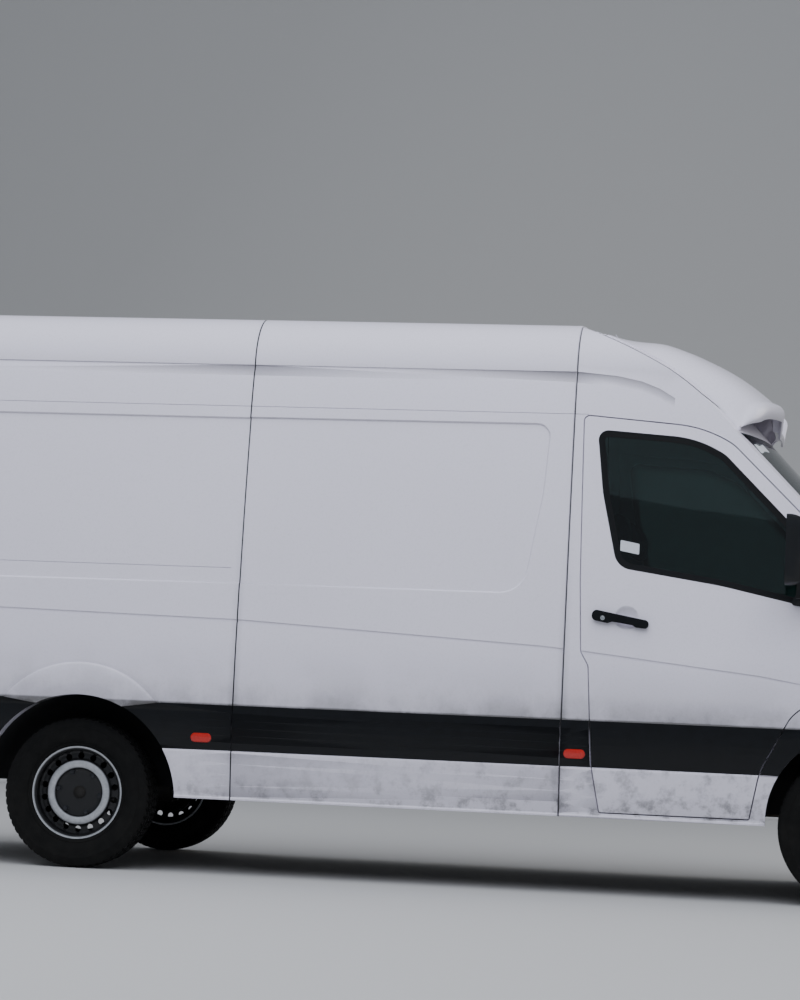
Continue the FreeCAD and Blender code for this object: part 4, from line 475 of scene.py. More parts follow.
    # A clean mirror that shows the sky.
    MIRROR = Finish("mirror_glass_silvered", "#c4ccd0", 0.03, metallic=1.0)
    # A blank pale patch with worn edges.
    PAPER = Finish("blank_paper_label", "#c9cdd2", 0.7, mottle=0.06, mottle_mm=6)
    # Bright rings on a near-black disc.
    FRONT_WHEEL = WheelEnamel("silver_wheel_enamel_front", "#c3c5c8", 0.36, metallic=0.6, film_colour="#151516",
                              axle_x=1.951)
    REAR_WHEEL = WheelEnamel("silver_wheel_enamel_rear", "#c3c5c8", 0.36, metallic=0.6, film_colour="#151516",
                             axle_x=-1.714)
    # Even pale grey that keeps the van's shadow soft.
    STUDIO = Finish("studio_floor_pale", "#b9b8b6", 0.8)


# The van's smooth outer form, for normals and for placing trim


def circle_through(a: Pair, b: Pair, c: Pair) -> tuple[np.ndarray, float]:
    """Centre and radius of the circle through three points."""
    ax, ay, bx, by, cx, cy = *a, *b, *c
    d = 2 * (ax * (by - cy) + bx * (cy - ay) + cx * (ay - by))
    aa, bb, cc = ax * ax + ay * ay, bx * bx + by * by, cx * cx + cy * cy
    ux = (aa * (by - cy) + bb * (cy - ay) + cc * (ay - by)) / d
    uy = (aa * (cx - bx) + bb * (ax - cx) + cc * (bx - ax)) / d
    centre = np.array([ux, uy])
    return centre, float(np.hypot(ax - ux, ay - uy))


def unit(way: np.ndarray) -> np.ndarray:
    """Way of length one."""
    return way / np.linalg.norm(way)


def corner_ways(last: Any, here: np.ndarray, following: Any) -> tuple[np.ndarray, np.ndarray, float]:
    """Unit ways from a corner to its neighbours, and half the angle between them."""
    before, after = unit(np.array(last) - here), unit(np.array(following) - here)
    return before, after, math.acos(max(-1.0, min(1.0, float(before @ after)))) / 2


class Outline:
    """A chain of lines and arcs in a plane; its outer side lies to the right of the way it runs."""

    def __init__(self, pieces: Iterable[tuple[Pair, ...]]) -> None:
        """Keep the pieces: two points make a line and three make an arc."""
        self.pieces = list(pieces)

    def nearest(self, points: np.ndarray) -> tuple[np.ndarray, np.ndarray]:
        """Distance to the chain and its outward normal at the nearest place.

        Args:
            points: N rows of two coordinates.

        Returns:
            N distances, and N rows of unit normals.
        """
        best = np.full(len(points), 1e9)
        normals = np.zeros((len(points), 2))
        for piece in self.pieces:
            start, end = np.array(piece[0]), np.array(piece[-1])
            if len(piece) == 2:
                run = end - start
                share = np.clip(((points - start) @ run) / (run @ run), 0, 1)
                gap = np.linalg.norm(points - (start + share[:, None] * run), axis=1)
                unit = run / np.linalg.norm(run)
                normal = np.tile((unit[1], -unit[0]), (len(points), 1))
            else:
                centre, radius = circle_through(*piece)
                middle = np.array(piece[1])
                turn = np.cross(middle - start, end - middle)
                spoke = points - centre
                length = np.linalg.norm(spoke, axis=1) + TINY
                normal = spoke / length[:, None] * (1 if turn > 0 else -1)
                mid_way = (middle - centre) / radius
                reach = min((start - centre) @ mid_way, (end - centre) @ mid_way) / radius
                inside = (spoke @ mid_way) / length >= reach - 1e-6
                gap = np.where(inside, abs(length - radius),
                               np.minimum(np.linalg.norm(points - start, axis=1),
                                          np.linalg.norm(points - end, axis=1)))
            closer = gap < best
            best = np.where(closer, gap, best)
            normals[closer] = normal[closer]
        return best, normals

    def sample(self, steps: int = 16) -> np.ndarray:
        """Points along the chain, with a number of steps on each arc."""
        rows: list[Any] = []
        for piece in self.pieces:
            if len(piece) == 2:
                rows += [piece[0], piece[1]]
                continue
            centre, radius = circle_through(*piece)
            angles = [math.atan2(p[1] - centre[1], p[0] - centre[0]) for p in piece]
            first = (angles[1] - angles[0] + math.pi) % (2 * math.pi) - math.pi
            second = (angles[2] - angles[1] + math.pi) % (2 * math.pi) - math.pi
            for k in range(steps + 1):
                angle = angles[0] + (first + second) * k / steps
                rows.append((centre[0] + radius * math.cos(angle), centre[1] + radius * math.sin(angle)))
        return np.array(rows)


@dataclass
class Envelope:
    """The van's outer form: leaning sections, a nose profile spun about an upright axis, and a plan outline."""

    half_width: float = 0.992
    gutter_z: float = 2.232
    roof_rise: float = 0.488
    nose_x: float = 2.955
    seam_x: float = 0.591
    cowl_x: float = 2.330
    cowl_z: float = 1.305
    header_x: float = 1.499
    header_z: float = 2.172
    revolve_x: float = -1.0
    thickest: float = 0.070
    crease: float = 0.0075
    gutter_slack: float = 0.02
    cladding_y: float = 0.9
    cladding_z: float = 0.803
    cladding_end: float = 2.30
    steps: int = 48
    rows: tuple[tuple[float, ...], ...] = (
        (52, 62, 215, 0), (34, 34, 355, 0), (8, 8, 600, 0), (0, 0, 800, 0), (2, 6, 970, 0), (8, 22, 1130, 0),
        (48, 92, 1690, 0), (110, 182, 2232, 0), (128, 204, 2232, 0.216), (149, 230, 2232, 0.423),
        (204, 292, 2232, 0.732), (352, 442, 2232, 0.922), (992, 992, 2232, 1),
    )

    def section_points(self, share: float) -> list[Pair]:
        """Half width and height of the section's corners, for a share of the way to the nose."""
        points = []
        for inset, nose_inset, height, rise in self.rows:
            half = self.half_width - (inset + (nose_inset - inset) * share) / 1000
            points.append((half, height / 1000 + rise * self.roof_rise))
        return points

    def section(self, share: float) -> Outline:
        """Right half of the section as a chain that runs upwards."""
        p = self.section_points(share)
        pieces: list[tuple[Pair, ...]] = [(p[0], p[1])]
        pieces += [(p[i], p[i + 1], p[i + 2]) for i in range(1, 11, 2)]
        pieces.append((p[11], p[12], (-p[11][0], p[11][1])))
        return Outline(pieces)

    def share(self, x: float) -> float:
        """Share of the way from the rear cab seam to the nose section."""
        return min(1.0, max(0.0, (x - self.seam_x) / (self.cowl_x - self.seam_x)))

    def side_y(self, x: float, z: float) -> float:
        """Half width of the body at a place, by bisection on its section."""
        p = self.section_points(self.share(x))
        for i in range(1, 11, 2):
            if z <= p[i + 2][1] or i == 9:
                centre, radius = circle_through(p[i], p[i + 1], p[i + 2])
                turn = np.cross(np.subtract(p[i + 1], p[i]), np.subtract(p[i + 2], p[i + 1]))
                root = math.sqrt(max(0.0, radius * radius - (z - centre[1]) ** 2))
                return float(centre[0] + (root if turn > 0 else -root))
        return p[1][0]

    def nose(self) -> Outline:
        """Nose profile as a chain that runs upwards from the bumper's lower lip."""
        n, g, r = self.nose_x, self.gutter_z, self.roof_rise
        p = [(n - .105, .215), (n - .028, .33), (n, .5), (n - .015, .68), (n - .043, .86), (n - .103, 1.01),
             (n - .131, 1.052), (n - .178, 1.08), ((n - .178 + self.cowl_x) / 2 + .008, 1.205),
             (self.cowl_x, self.cowl_z), (self.header_x, self.header_z), (1.350, g + .197 * r),
             (1.171, g + .484 * r), (0.900, g + .768 * r), (self.seam_x - .04, g + r + .001)]
        cuts = ((0, 1, 2), (2, 3), (3, 4, 5), (5, 6, 7), (7, 8, 9), (9, 10), (10, 11, 12), (12, 13, 14))
        return Outline([tuple(p[i] for i in cut) for cut in cuts])

    def fairing(self) -> Outline:
        """Profile of the fairing on the cab's cap, from its lip upwards and back."""
        g, r = self.gutter_z, self.roof_rise
        p = [(1.498, g + .037 * r), (1.538, g + .074 * r), (1.556, g + .176 * r), (1.505, g + .279 * r),
             (1.400, g + .451 * r), (1.241, g + .641 * r), (0.950, g + .857 * r), (0.660, g + .963 * r)]
        return Outline([tuple(p[i] for i in cut) for cut in ((0, 1), (1, 2, 3), (3, 4, 5), (5, 6, 7))])

    def crown(self, x: float, y: float) -> float:
        """Height of the form's upper face at a place."""
        section = self.section(self.share(x)).sample()
        roof = section[section[:, 1] >= self.gutter_z - 0.3]
        nose = self.nose().sample()
        radius = math.hypot(x - self.revolve_x, y) + self.revolve_x
        across = np.interp(abs(y), roof[::-1, 0], roof[::-1, 1])
        spun = np.interp(radius, nose[::-1, 0], nose[::-1, 1])
        return float(min(across, spun))

    def plan(self) -> Outline:
        """Plan outline of the cab in half width and x, running forwards."""
        side, front = self.half_width + .04, self.nose_x + .06
        corners = [(side, .586, 0), (side, 2.25, .9), (self.half_width - .17, 2.79, .16),
                   (self.half_width - .42, front - .09, .3), (0, front, 0)]
        pieces: list[tuple[Pair, ...]] = []
        last = corners[0][:2]
        for i in range(1, len(corners)):
            here = np.array(corners[i][:2])
            if i + 1 < len(corners):
                before, after, half = corner_ways(corners[i - 1][:2], here, corners[i + 1][:2])
                radius = corners[i][2]
                reach = radius / math.tan(half)
                mid = here + unit(before + after) * (radius / math.sin(half) - radius)
                start, end = tuple(here + before * reach), tuple(here + after * reach)
                pieces += [(last, start), (start, tuple(mid), end)]
                last = end
            else:
                pieces.append((last, tuple(here)))
        return Outline(pieces)

    def surfaces(self, points: np.ndarray) -> list[tuple[np.ndarray, np.ndarray]]:
        """Depth under each surface of the form, and that surface's normal, at every place.

        Args:
            points: N places.

        Returns:
            For the sections, the nose, the fairing and the plan: N depths and N normals.
        """
        sign = np.where(points[:, 1] < 0, -1.0, 1.0)
        half = np.abs(points[:, 1])
        candidates = []
        share = np.clip((points[:, 0] - self.seam_x) / (self.cowl_x - self.seam_x), 0, 1)
        step = np.round(share * self.steps).astype(int)
        lean_z = [row[2] / 1000 + row[3] * self.roof_rise for row in self.rows]
        leans = [(row[1] - row[0]) / 1000 for row in self.rows]
        lean = np.interp(points[:, 2], lean_z, leans) / (self.cowl_x - self.seam_x)
        lean = np.where((share > 0) & (share < 1), lean, 0)
        side = np.zeros_like(points)
        under = np.zeros(len(points))
        for k in np.unique(step):
            mine = step == k
            shift = (share[mine] - k / self.steps) * (self.cowl_x - self.seam_x) * lean[mine]
            places = np.column_stack((half[mine] + shift, points[mine, 2]))
            gap, normal = self.section(k / self.steps).nearest(places)
            side[mine] = np.column_stack((lean[mine] * normal[:, 0], normal[:, 0] * sign[mine], normal[:, 1]))
            under[mine] = gap
        candidates.append((under, side))
        ahead = points[:, 0] - self.revolve_x
        radius = np.hypot(ahead, half)
        gap, normal = self.nose().nearest(np.column_stack((radius + self.revolve_x, points[:, 2])))
        spun = (normal[:, 0] * ahead / radius, normal[:, 0] * points[:, 1] / radius, normal[:, 1])
        candidates.append((gap, np.column_stack(spun)))
        gap, normal = self.fairing().nearest(points[:, [0, 2]])
        candidates.append((gap, np.column_stack((normal[:, 0], np.zeros(len(points)), normal[:, 1]))))
        gap, normal = self.plan().nearest(np.column_stack((half, points[:, 0])))
        candidates.append((gap, np.column_stack((normal[:, 1], normal[:, 0] * sign, np.zeros(len(points))))))
        return candidates

    def normals(self, points: np.ndarray, faces: np.ndarray, owner: np.ndarray, limit: float = 0.93,
                slack: float = 0.0005) -> np.ndarray:
        """True normals of the form wherever a facet lies along it.

        Args:
            points: N places, one for each corner of each facet.
            faces: N facet normals.
            owner: Number of the facet each corner belongs to.
            limit: Least agreement between facet and form.
            slack: Largest change of depth under the form over a facet that lies along it.

        Returns:
            N normals, zero where the facet isn't part of the form.
        """
        result = np.zeros_like(points)
        facets = int(owner.max()) + 1
        highest = np.full(facets, -1.0)
        np.maximum.at(highest, owner, points[:, 2])
        flank = (points[:, 0] < self.cladding_end) & (np.abs(points[:, 1]) > self.cladding_y)
        clad = (highest[owner] < self.cladding_z) & flank
        best = np.where(clad, 2.0, limit)
        for gap, made in self.surfaces(points):
            made = made / (np.linalg.norm(made, axis=1)[:, None] + TINY)
            most, least = np.full(facets, -1.0), np.full(facets, 1e9)
            np.maximum.at(most, owner, gap)
            np.minimum.at(least, owner, gap)
            along = ((most - least)[owner] < slack) & (most[owner] < self.thickest)
            creased = (most[owner] > slack) & (most[owner] < self.crease)
            along &= ~(creased & (points[:, 2] > self.gutter_z + self.gutter_slack))
            dot = np.einsum("ij,ij->i", made, faces)
            better = (np.abs(dot) > best) & along
            result[better] = made[better] * np.sign(dot[better])[:, None]
            best = np.where(better, np.abs(dot), best)
        return result


ENVELOPE = Envelope()


# Mesh helpers


def new_object(name: str, mesh: Mesh, materials: Sequence[bpy.types.Material]) -> Piece:
    """Put a mesh in the scene as an object at the origin, with its materials."""
    made = bpy.data.objects.new(name, mesh)
    bpy.context.scene.collection.objects.link(made)
    for material in materials:
        mesh.materials.append(material)
    return made


def fasten(made: Piece, body: str) -> None:
    """Let a piece ride on its body."""
    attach(made, body)


def full_turn(count: int) -> list[float]:
    """Angles of evenly spaced places round a circle."""
    return [2 * math.pi * k / count for k in range(count)]


def smooth_mesh(name: str, work: Work, angle: float = 180.0) -> Mesh:
    """Turn a mesh in work, freed here, into a mesh shaded smooth up to an angle in degrees."""
    mesh = bpy.data.meshes.new(name)
    work.to_mesh(mesh)
    work.free()
    mesh.shade_smooth()
    if angle < 180:
        mesh.set_sharp_from_angle(angle=math.radians(angle))
    return mesh


def object_from_bmesh(name: str, work: Work, finish: Finish, angle: float = 32.0, merge: float = 1e-6) -> Piece:
    """Finish a mesh: merge its doubles, turn its faces outwards and shade it smooth up to an angle.

    Args:
        name: Name of the object.
        work: The mesh in work, freed here.
        finish: Its finish.
        angle: Largest angle in degrees that stays smooth.
        merge: Distance under which points are joined.

    Returns:
        The new object.
    """
    bmesh.ops.remove_doubles(work, verts=work.verts, dist=merge)
    bmesh.ops.recalc_face_normals(work, faces=work.faces)
    return new_object(name, smooth_mesh(name, work, angle), [finish.build()])


def bake(made: Piece) -> Piece:
    """Replace an object's mesh by its evaluated mesh and drop its modifiers."""
    graph = bpy.context.evaluated_depsgraph_get()
    mesh = bpy.data.meshes.new_from_object(made.evaluated_get(graph))
    made.modifiers.clear()
    made.data = mesh
    return made


def grid_faces(work: Work, rows: list[list[Corner]], closed: bool = False) -> None:
    """Join rows of points with quads; a closed grid also joins the last row to the first."""
    count = len(rows)
    for i in range(count if closed else count - 1):
        upper, lower = rows[i], rows[(i + 1) % count]
        for k in range(len(upper) - 1):
            corners = [upper[k], upper[k + 1], lower[k + 1], lower[k]]
            if len(set(corners)) == 4:
                work.faces.new(corners)


def ring_faces(work: Work, rings: list[list[Corner]]) -> None:
    """Join closed rings of points with quads, one ring to the next."""
    for i in range(len(rings) - 1):
        for k in range(len(rings[i])):
            after = (k + 1) % len(rings[i])
            work.faces.new([rings[i][k], rings[i][after], rings[i + 1][after], rings[i + 1][k]])


def ringed(name: str, rings: Iterable[Iterable[Point]], finish: Finish, caps: Sequence[int] = (0, -1)) -> Piece:
    """Make a piece from closed rings of places.

    Args:
        name: Name of the piece.
        rings: Its rings, one after the other.
        finish: Its finish.
        caps: Numbers of the rings that are closed by a face.

    Returns:
        The piece.
    """
    work = bmesh.new()
    made = [[work.verts.new(place) for place in ring] for ring in rings]
    ring_faces(work, made)
    for end in caps:
        work.faces.new(made[end])
    return object_from_bmesh(name, work, finish)


def first_hit(node_name: str, start: Point, way: Point) -> Vector:
    """Where a line first meets a CAD node.

    Args:
        node_name: The node.
        start: Start of the line.
        way: Its direction.

    Returns:
        The place, in metres.
    """
    if node_name not in HIT_TREES:
        mesh = FRAME["nodes"][node_name].data
        HIT_TREES[node_name] = BVHTree.FromPolygons([v.co for v in mesh.vertices],
                                                    [list(f.vertices) for f in mesh.polygons])
    return HIT_TREES[node_name].ray_cast(Vector(start), Vector(way))[0]


def rounded_outline(corners: Sequence[Point], steps: int = 8) -> list[Pair]:
    """Points of a closed outline whose corners (u, v, radius) are rounded."""
    points: list[Pair] = []
    count = len(corners)
    for i in range(count):
        here = np.array(corners[i][:2])
        radius = corners[i][2]
        before, after, half = corner_ways(corners[i - 1][:2], here, corners[(i + 1) % count][:2])
        bis = before + after
        if radius == 0 or np.linalg.norm(bis) < 1e-9:
            points.append((float(here[0]), float(here[1])))
            continue
        bis = unit(bis)
        centre = here + bis * radius / math.sin(half)
        start = here + before * radius / math.tan(half) - centre
        end = here + after * radius / math.tan(half) - centre
        a0 = math.atan2(start[1], start[0])
        sweep = (math.atan2(end[1], end[0]) - a0 + math.pi) % (2 * math.pi) - math.pi
        for k in range(steps + 1):
            angle = a0 + sweep * k / steps
            points.append((float(centre[0] + radius * math.cos(angle)),
                           float(centre[1] + radius * math.sin(angle))))
    return points


def offset_outline(points: list[Pair], inwards: float) -> list[Pair]:
    """Move every point of a closed outline towards its inside."""
    count = len(points)
    area = sum(points[i][0] * points[(i + 1) % count][1] - points[(i + 1) % count][0] * points[i][1]
               for i in range(count))
    turn = 1 if area > 0 else -1
    result = []
    for i in range(count):
        before, after = np.array(points[i - 1]), np.array(points[(i + 1) % count])
        run = after - before
        run = run / (np.linalg.norm(run) + TINY)
        result.append((points[i][0] - run[1] * inwards * turn, points[i][1] + run[0] * inwards * turn))
    return result


class Zone(Enum):
    """How the faces of a body panel are told apart."""

    PLAIN = "plain"
    STRIPED = "striped"
    HANDLED = "handled"


@dataclass
class Fairing:
    """Moulded wind fairing over the windscreen: it grows out of the cab roof and ends in an open lip."""

    start_x: float = 0.700
    grown_x: float = 1.000
    end_x: float = 1.505
    corner_back: float = 0.150
    half_rear: float = 0.640
    half_front: float = 0.800
    lip_reach: float = 0.052
    lip_drop: float = 0.085
    wall: float = 0.012
    edge: float = 0.007
    proud: float = 0.0025
    sunk: float = 0.003
    curl: float = math.pi * 0.72
    reach_x: Pair = (0.62, 1.60)
    reach_y: float = 0.90
    above_z: float = 2.17
    near: float = 0.004
    rows: int = 44
    lip_rows: int = 9
    columns: int = 48
    angle: float = 38.0

    def holds(self, place: Vector) -> bool:
        """Whether a face of the CAD roof belongs to its fairing."""
        first, last = self.reach_x
        if not (first < place.x < last and abs(place.y) < self.reach_y and place.z > self.above_z):
            return False
        over = place.z - ENVELOPE.crown(place.x, place.y)
        near = self.near
        rise_x = ENVELOPE.crown(place.x + near, place.y) - ENVELOPE.crown(place.x - near, place.y)
        rise_y = ENVELOPE.crown(place.x, place.y + near) - ENVELOPE.crown(place.x, place.y - near)
        slope = math.hypot(rise_x, rise_y) / (2 * near)
        return over / math.hypot(1.0, slope) > self.proud

    def build(self) -> None:
        """Lay the fairing over the cab roof as one curved shell."""
        profile = ENVELOPE.fairing().sample()
        work = bmesh.new()
        grid = []
        for i in range(self.columns + 1):
            v = math.sin(math.pi / 2 * (2 * i / self.columns - 1))
            end = self.end_x - self.corner_back * abs(v) ** 2.6
            full = 1 - abs(v) ** 10
            line = []
            x = y = z = 0.0
            for k in range(self.rows + 1):
                x = self.start_x + (end - self.start_x) * k / self.rows
                share = (x - self.start_x) / (self.end_x - self.corner_back - self.start_x)
                y = v * min(self.half_front, self.half_rear + (self.half_front - self.half_rear) * share)
                grown = min(1.0, (x - self.start_x) / (self.grown_x - self.start_x))
                grown = grown * grown * (3 - 2 * grown)
                middle = float(np.interp(x, profile[::-1, 0], profile[::-1, 1])) - ENVELOPE.crown(x, 0)
                rest = ENVELOPE.crown(x, y)
                lift = self.edge if abs(v) < 0.999 and k > 0 else -self.sunk
                z = rest + max(0.0, middle) * grown * full + lift
                line.append(work.verts.new((x, y, z)))
            drop = min(self.lip_drop, max(0.0, z - ENVELOPE.crown(x, y) - 0.01) * 0.6)
            reach = self.lip_reach * min(1.0, drop / self.lip_drop + 0.15)
            for k in range(1, self.lip_rows + 1):
                turn = self.curl * k / self.lip_rows
                fall = drop * (1 - math.cos(turn)) / (1 - math.cos(self.curl))
                line.append(work.verts.new((x + reach * math.sin(turn), y, z - fall)))
            grid.append(line)
        grid_faces(work, grid)
        bmesh.ops.recalc_face_normals(work, faces=work.faces)
        if sum(face.normal.z for face in work.faces) < 0:
            bmesh.ops.reverse_faces(work, faces=work.faces)
        made = new_object("roof_fairing", smooth_mesh("roof_fairing", work), [Finishes.ENAMEL.build()])
        wall = made.modifiers.new("wall", "SOLIDIFY")
        wall.thickness = self.wall
        wall.offset = -1.0
        bake(made)
        made.data.shade_smooth()
        made.data.set_sharp_from_angle(angle=math.radians(self.angle))
        fasten(made, BASE)
        LOG.info("roof_fairing: %d faces", len(made.data.polygons))


@dataclass
class BodyShell:
    """The painted panels, doors and bonnet, as smooth copies of the CAD panels."""

    strip_low: float = 0.5885
    strip_high: float = 0.7985
    strip_end: float = 1.951
    arch_x: float = -1.711
    arch_reach: float = 0.50
    flare_proud: float = 0.0087
    proud: float = 0.0022
    slack: float = 0.002
    handle_box: Quad = (0.70, 1.00, 1.22, 1.33)
    slide_handle_box: Quad = (0.25, 0.55, 1.22, 1.33)

    def copy(self, name: str, node_name: str, finish: Finish, body: str, zone: Zone = Zone.PLAIN,
             slot: str = "paint", formed: bool = True, angle: float = 28.0, cuts: Sequence[float] = (),
             left_out: Callable[[Vector], bool] | None = None) -> Piece:
        """Show a CAD node as a merged, smooth copy with its finish.

        Args:
            name: Name of the new piece.
            node_name: The CAD node it stands for.
            finish: Finish of its faces.
            body: Body it rides on.
            zone: How its faces are told apart.
            slot: The record's material slot; not used.
            formed: Whether its outer faces follow the van's form.
            angle: Largest angle that stays smooth elsewhere.
            cuts: Heights at which its faces are cut, for bands of another finish.
            left_out: Tells by its middle whether a face is left out, because another piece stands for it.

        Returns:
            The new piece.
        """
        source = FRAME["nodes"][node_name]
        work = bmesh.new()
        work.from_mesh(source.data)
        bmesh.ops.remove_doubles(work, verts=work.verts, dist=MERGE)
        for height in cuts:
            whole = [*work.verts, *work.edges, *work.faces]
            bmesh.ops.bisect_plane(work, geom=whole, dist=MERGE / 10, plane_co=(0, 0, height),
                                   plane_no=(0, 0, 1))
        if left_out:
            gone = [face for face in work.faces if left_out(face.calc_center_median())]
            bmesh.ops.delete(work, geom=gone, context="FACES")
        mesh = smooth_mesh(name, work, angle)
        made = new_object(name, mesh, [finish.build()])
        if zone is not Zone.PLAIN:
            self.split(mesh, zone)
        if formed:
            self.follow_form(mesh)
        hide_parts(node_name)
        fasten(made, body)
        LOG.info("%s: %d faces on %s", name, len(mesh.polygons), body)
        return made

    def split(self, mesh: Mesh, zone: Zone) -> None:
        """Give the rub strip and the handles their own finish.

        Args:
            mesh: The panel's mesh.
            zone: What the panel carries.
        """
        mesh.materials.append(Finishes.STRIP.build())
        for face in mesh.polygons:
            c = face.center
            over = abs(c.y) - ENVELOPE.side_y(c.x, c.z)
            level = self.strip_low - self.slack < c.z < self.strip_high + self.slack
            strip = level and over > -self.slack and c.x < self.strip_end
            if abs(c.x - self.arch_x) < self.arch_reach and over > self.flare_proud:
                strip = False
            box = self.handle_box if zone is Zone.HANDLED else self.slide_handle_box
            handle = box[0] < c.x < box[1] and box[2] < c.z < box[3] and over > self.proud
            if strip or (handle and (zone is Zone.HANDLED or c.y > 0)):
                face.material_index = 1

    def follow_form(self, mesh: Mesh) -> None:
        """Give the mesh the true normals of the van's form, so that long facets don't show.

        Args:
            mesh: The panel's mesh.
        """
        loops = len(mesh.loops)
        where = np.zeros(len(mesh.vertices) * 3)
        mesh.vertices.foreach_get("co", where)
        index = np.zeros(loops, dtype=int)
        mesh.loops.foreach_get("vertex_index", index)
        owner = np.zeros(loops, dtype=int)
        for face in mesh.polygons:
            owner[face.loop_start:face.loop_start + face.loop_total] = face.index
        facets = np.zeros(len(mesh.polygons) * 3)
        mesh.polygons.foreach_get("normal", facets)
        points = where.reshape(-1, 3)[index]
        facing = facets.reshape(-1, 3)[owner]
        mesh.normals_split_custom_set([tuple(n) for n in ENVELOPE.normals(points, facing, owner)])

    def build(self) -> None:
        """Make every painted piece."""
        self.copy("front_wings_skin", "front_wings", Finishes.ENAMEL, BASE, Zone.STRIPED)
        self.copy("load_roof_skin", "load_roof", Finishes.ENAMEL, BASE)
        self.copy("bonnet_skin", "bonnet", Finishes.ENAMEL, "bonnet")
        self.copy("cab_roof_skin", "cab_roof", Finishes.ENAMEL, BASE, left_out=Fairing().holds)
        Fairing().build()
        for side, _ in SIDES:
            self.copy("rear_quarter_%s_skin" % side, "rear_quarter_" + side, Finishes.ENAMEL, BASE,
                      Zone.STRIPED)
            self.copy("cab_frame_%s_skin" % side, "cab_frame_" + side, Finishes.ENAMEL, BASE, Zone.STRIPED)
            self.copy("front_door_%s_skin" % side, "front_door_" + side, Finishes.ENAMEL, "front_door_" + side,
                      Zone.HANDLED)
            self.copy("rear_door_%s_skin" % side, "rear_door_" + side, Finishes.ENAMEL, "rear_door_" + side)
        self.copy("side_panel_right_skin", "side_panel_right", Finishes.ENAMEL, BASE, Zone.STRIPED)
        self.copy("sliding_door_skin", "sliding_door", Finishes.ENAMEL, BASE, Zone.STRIPED)


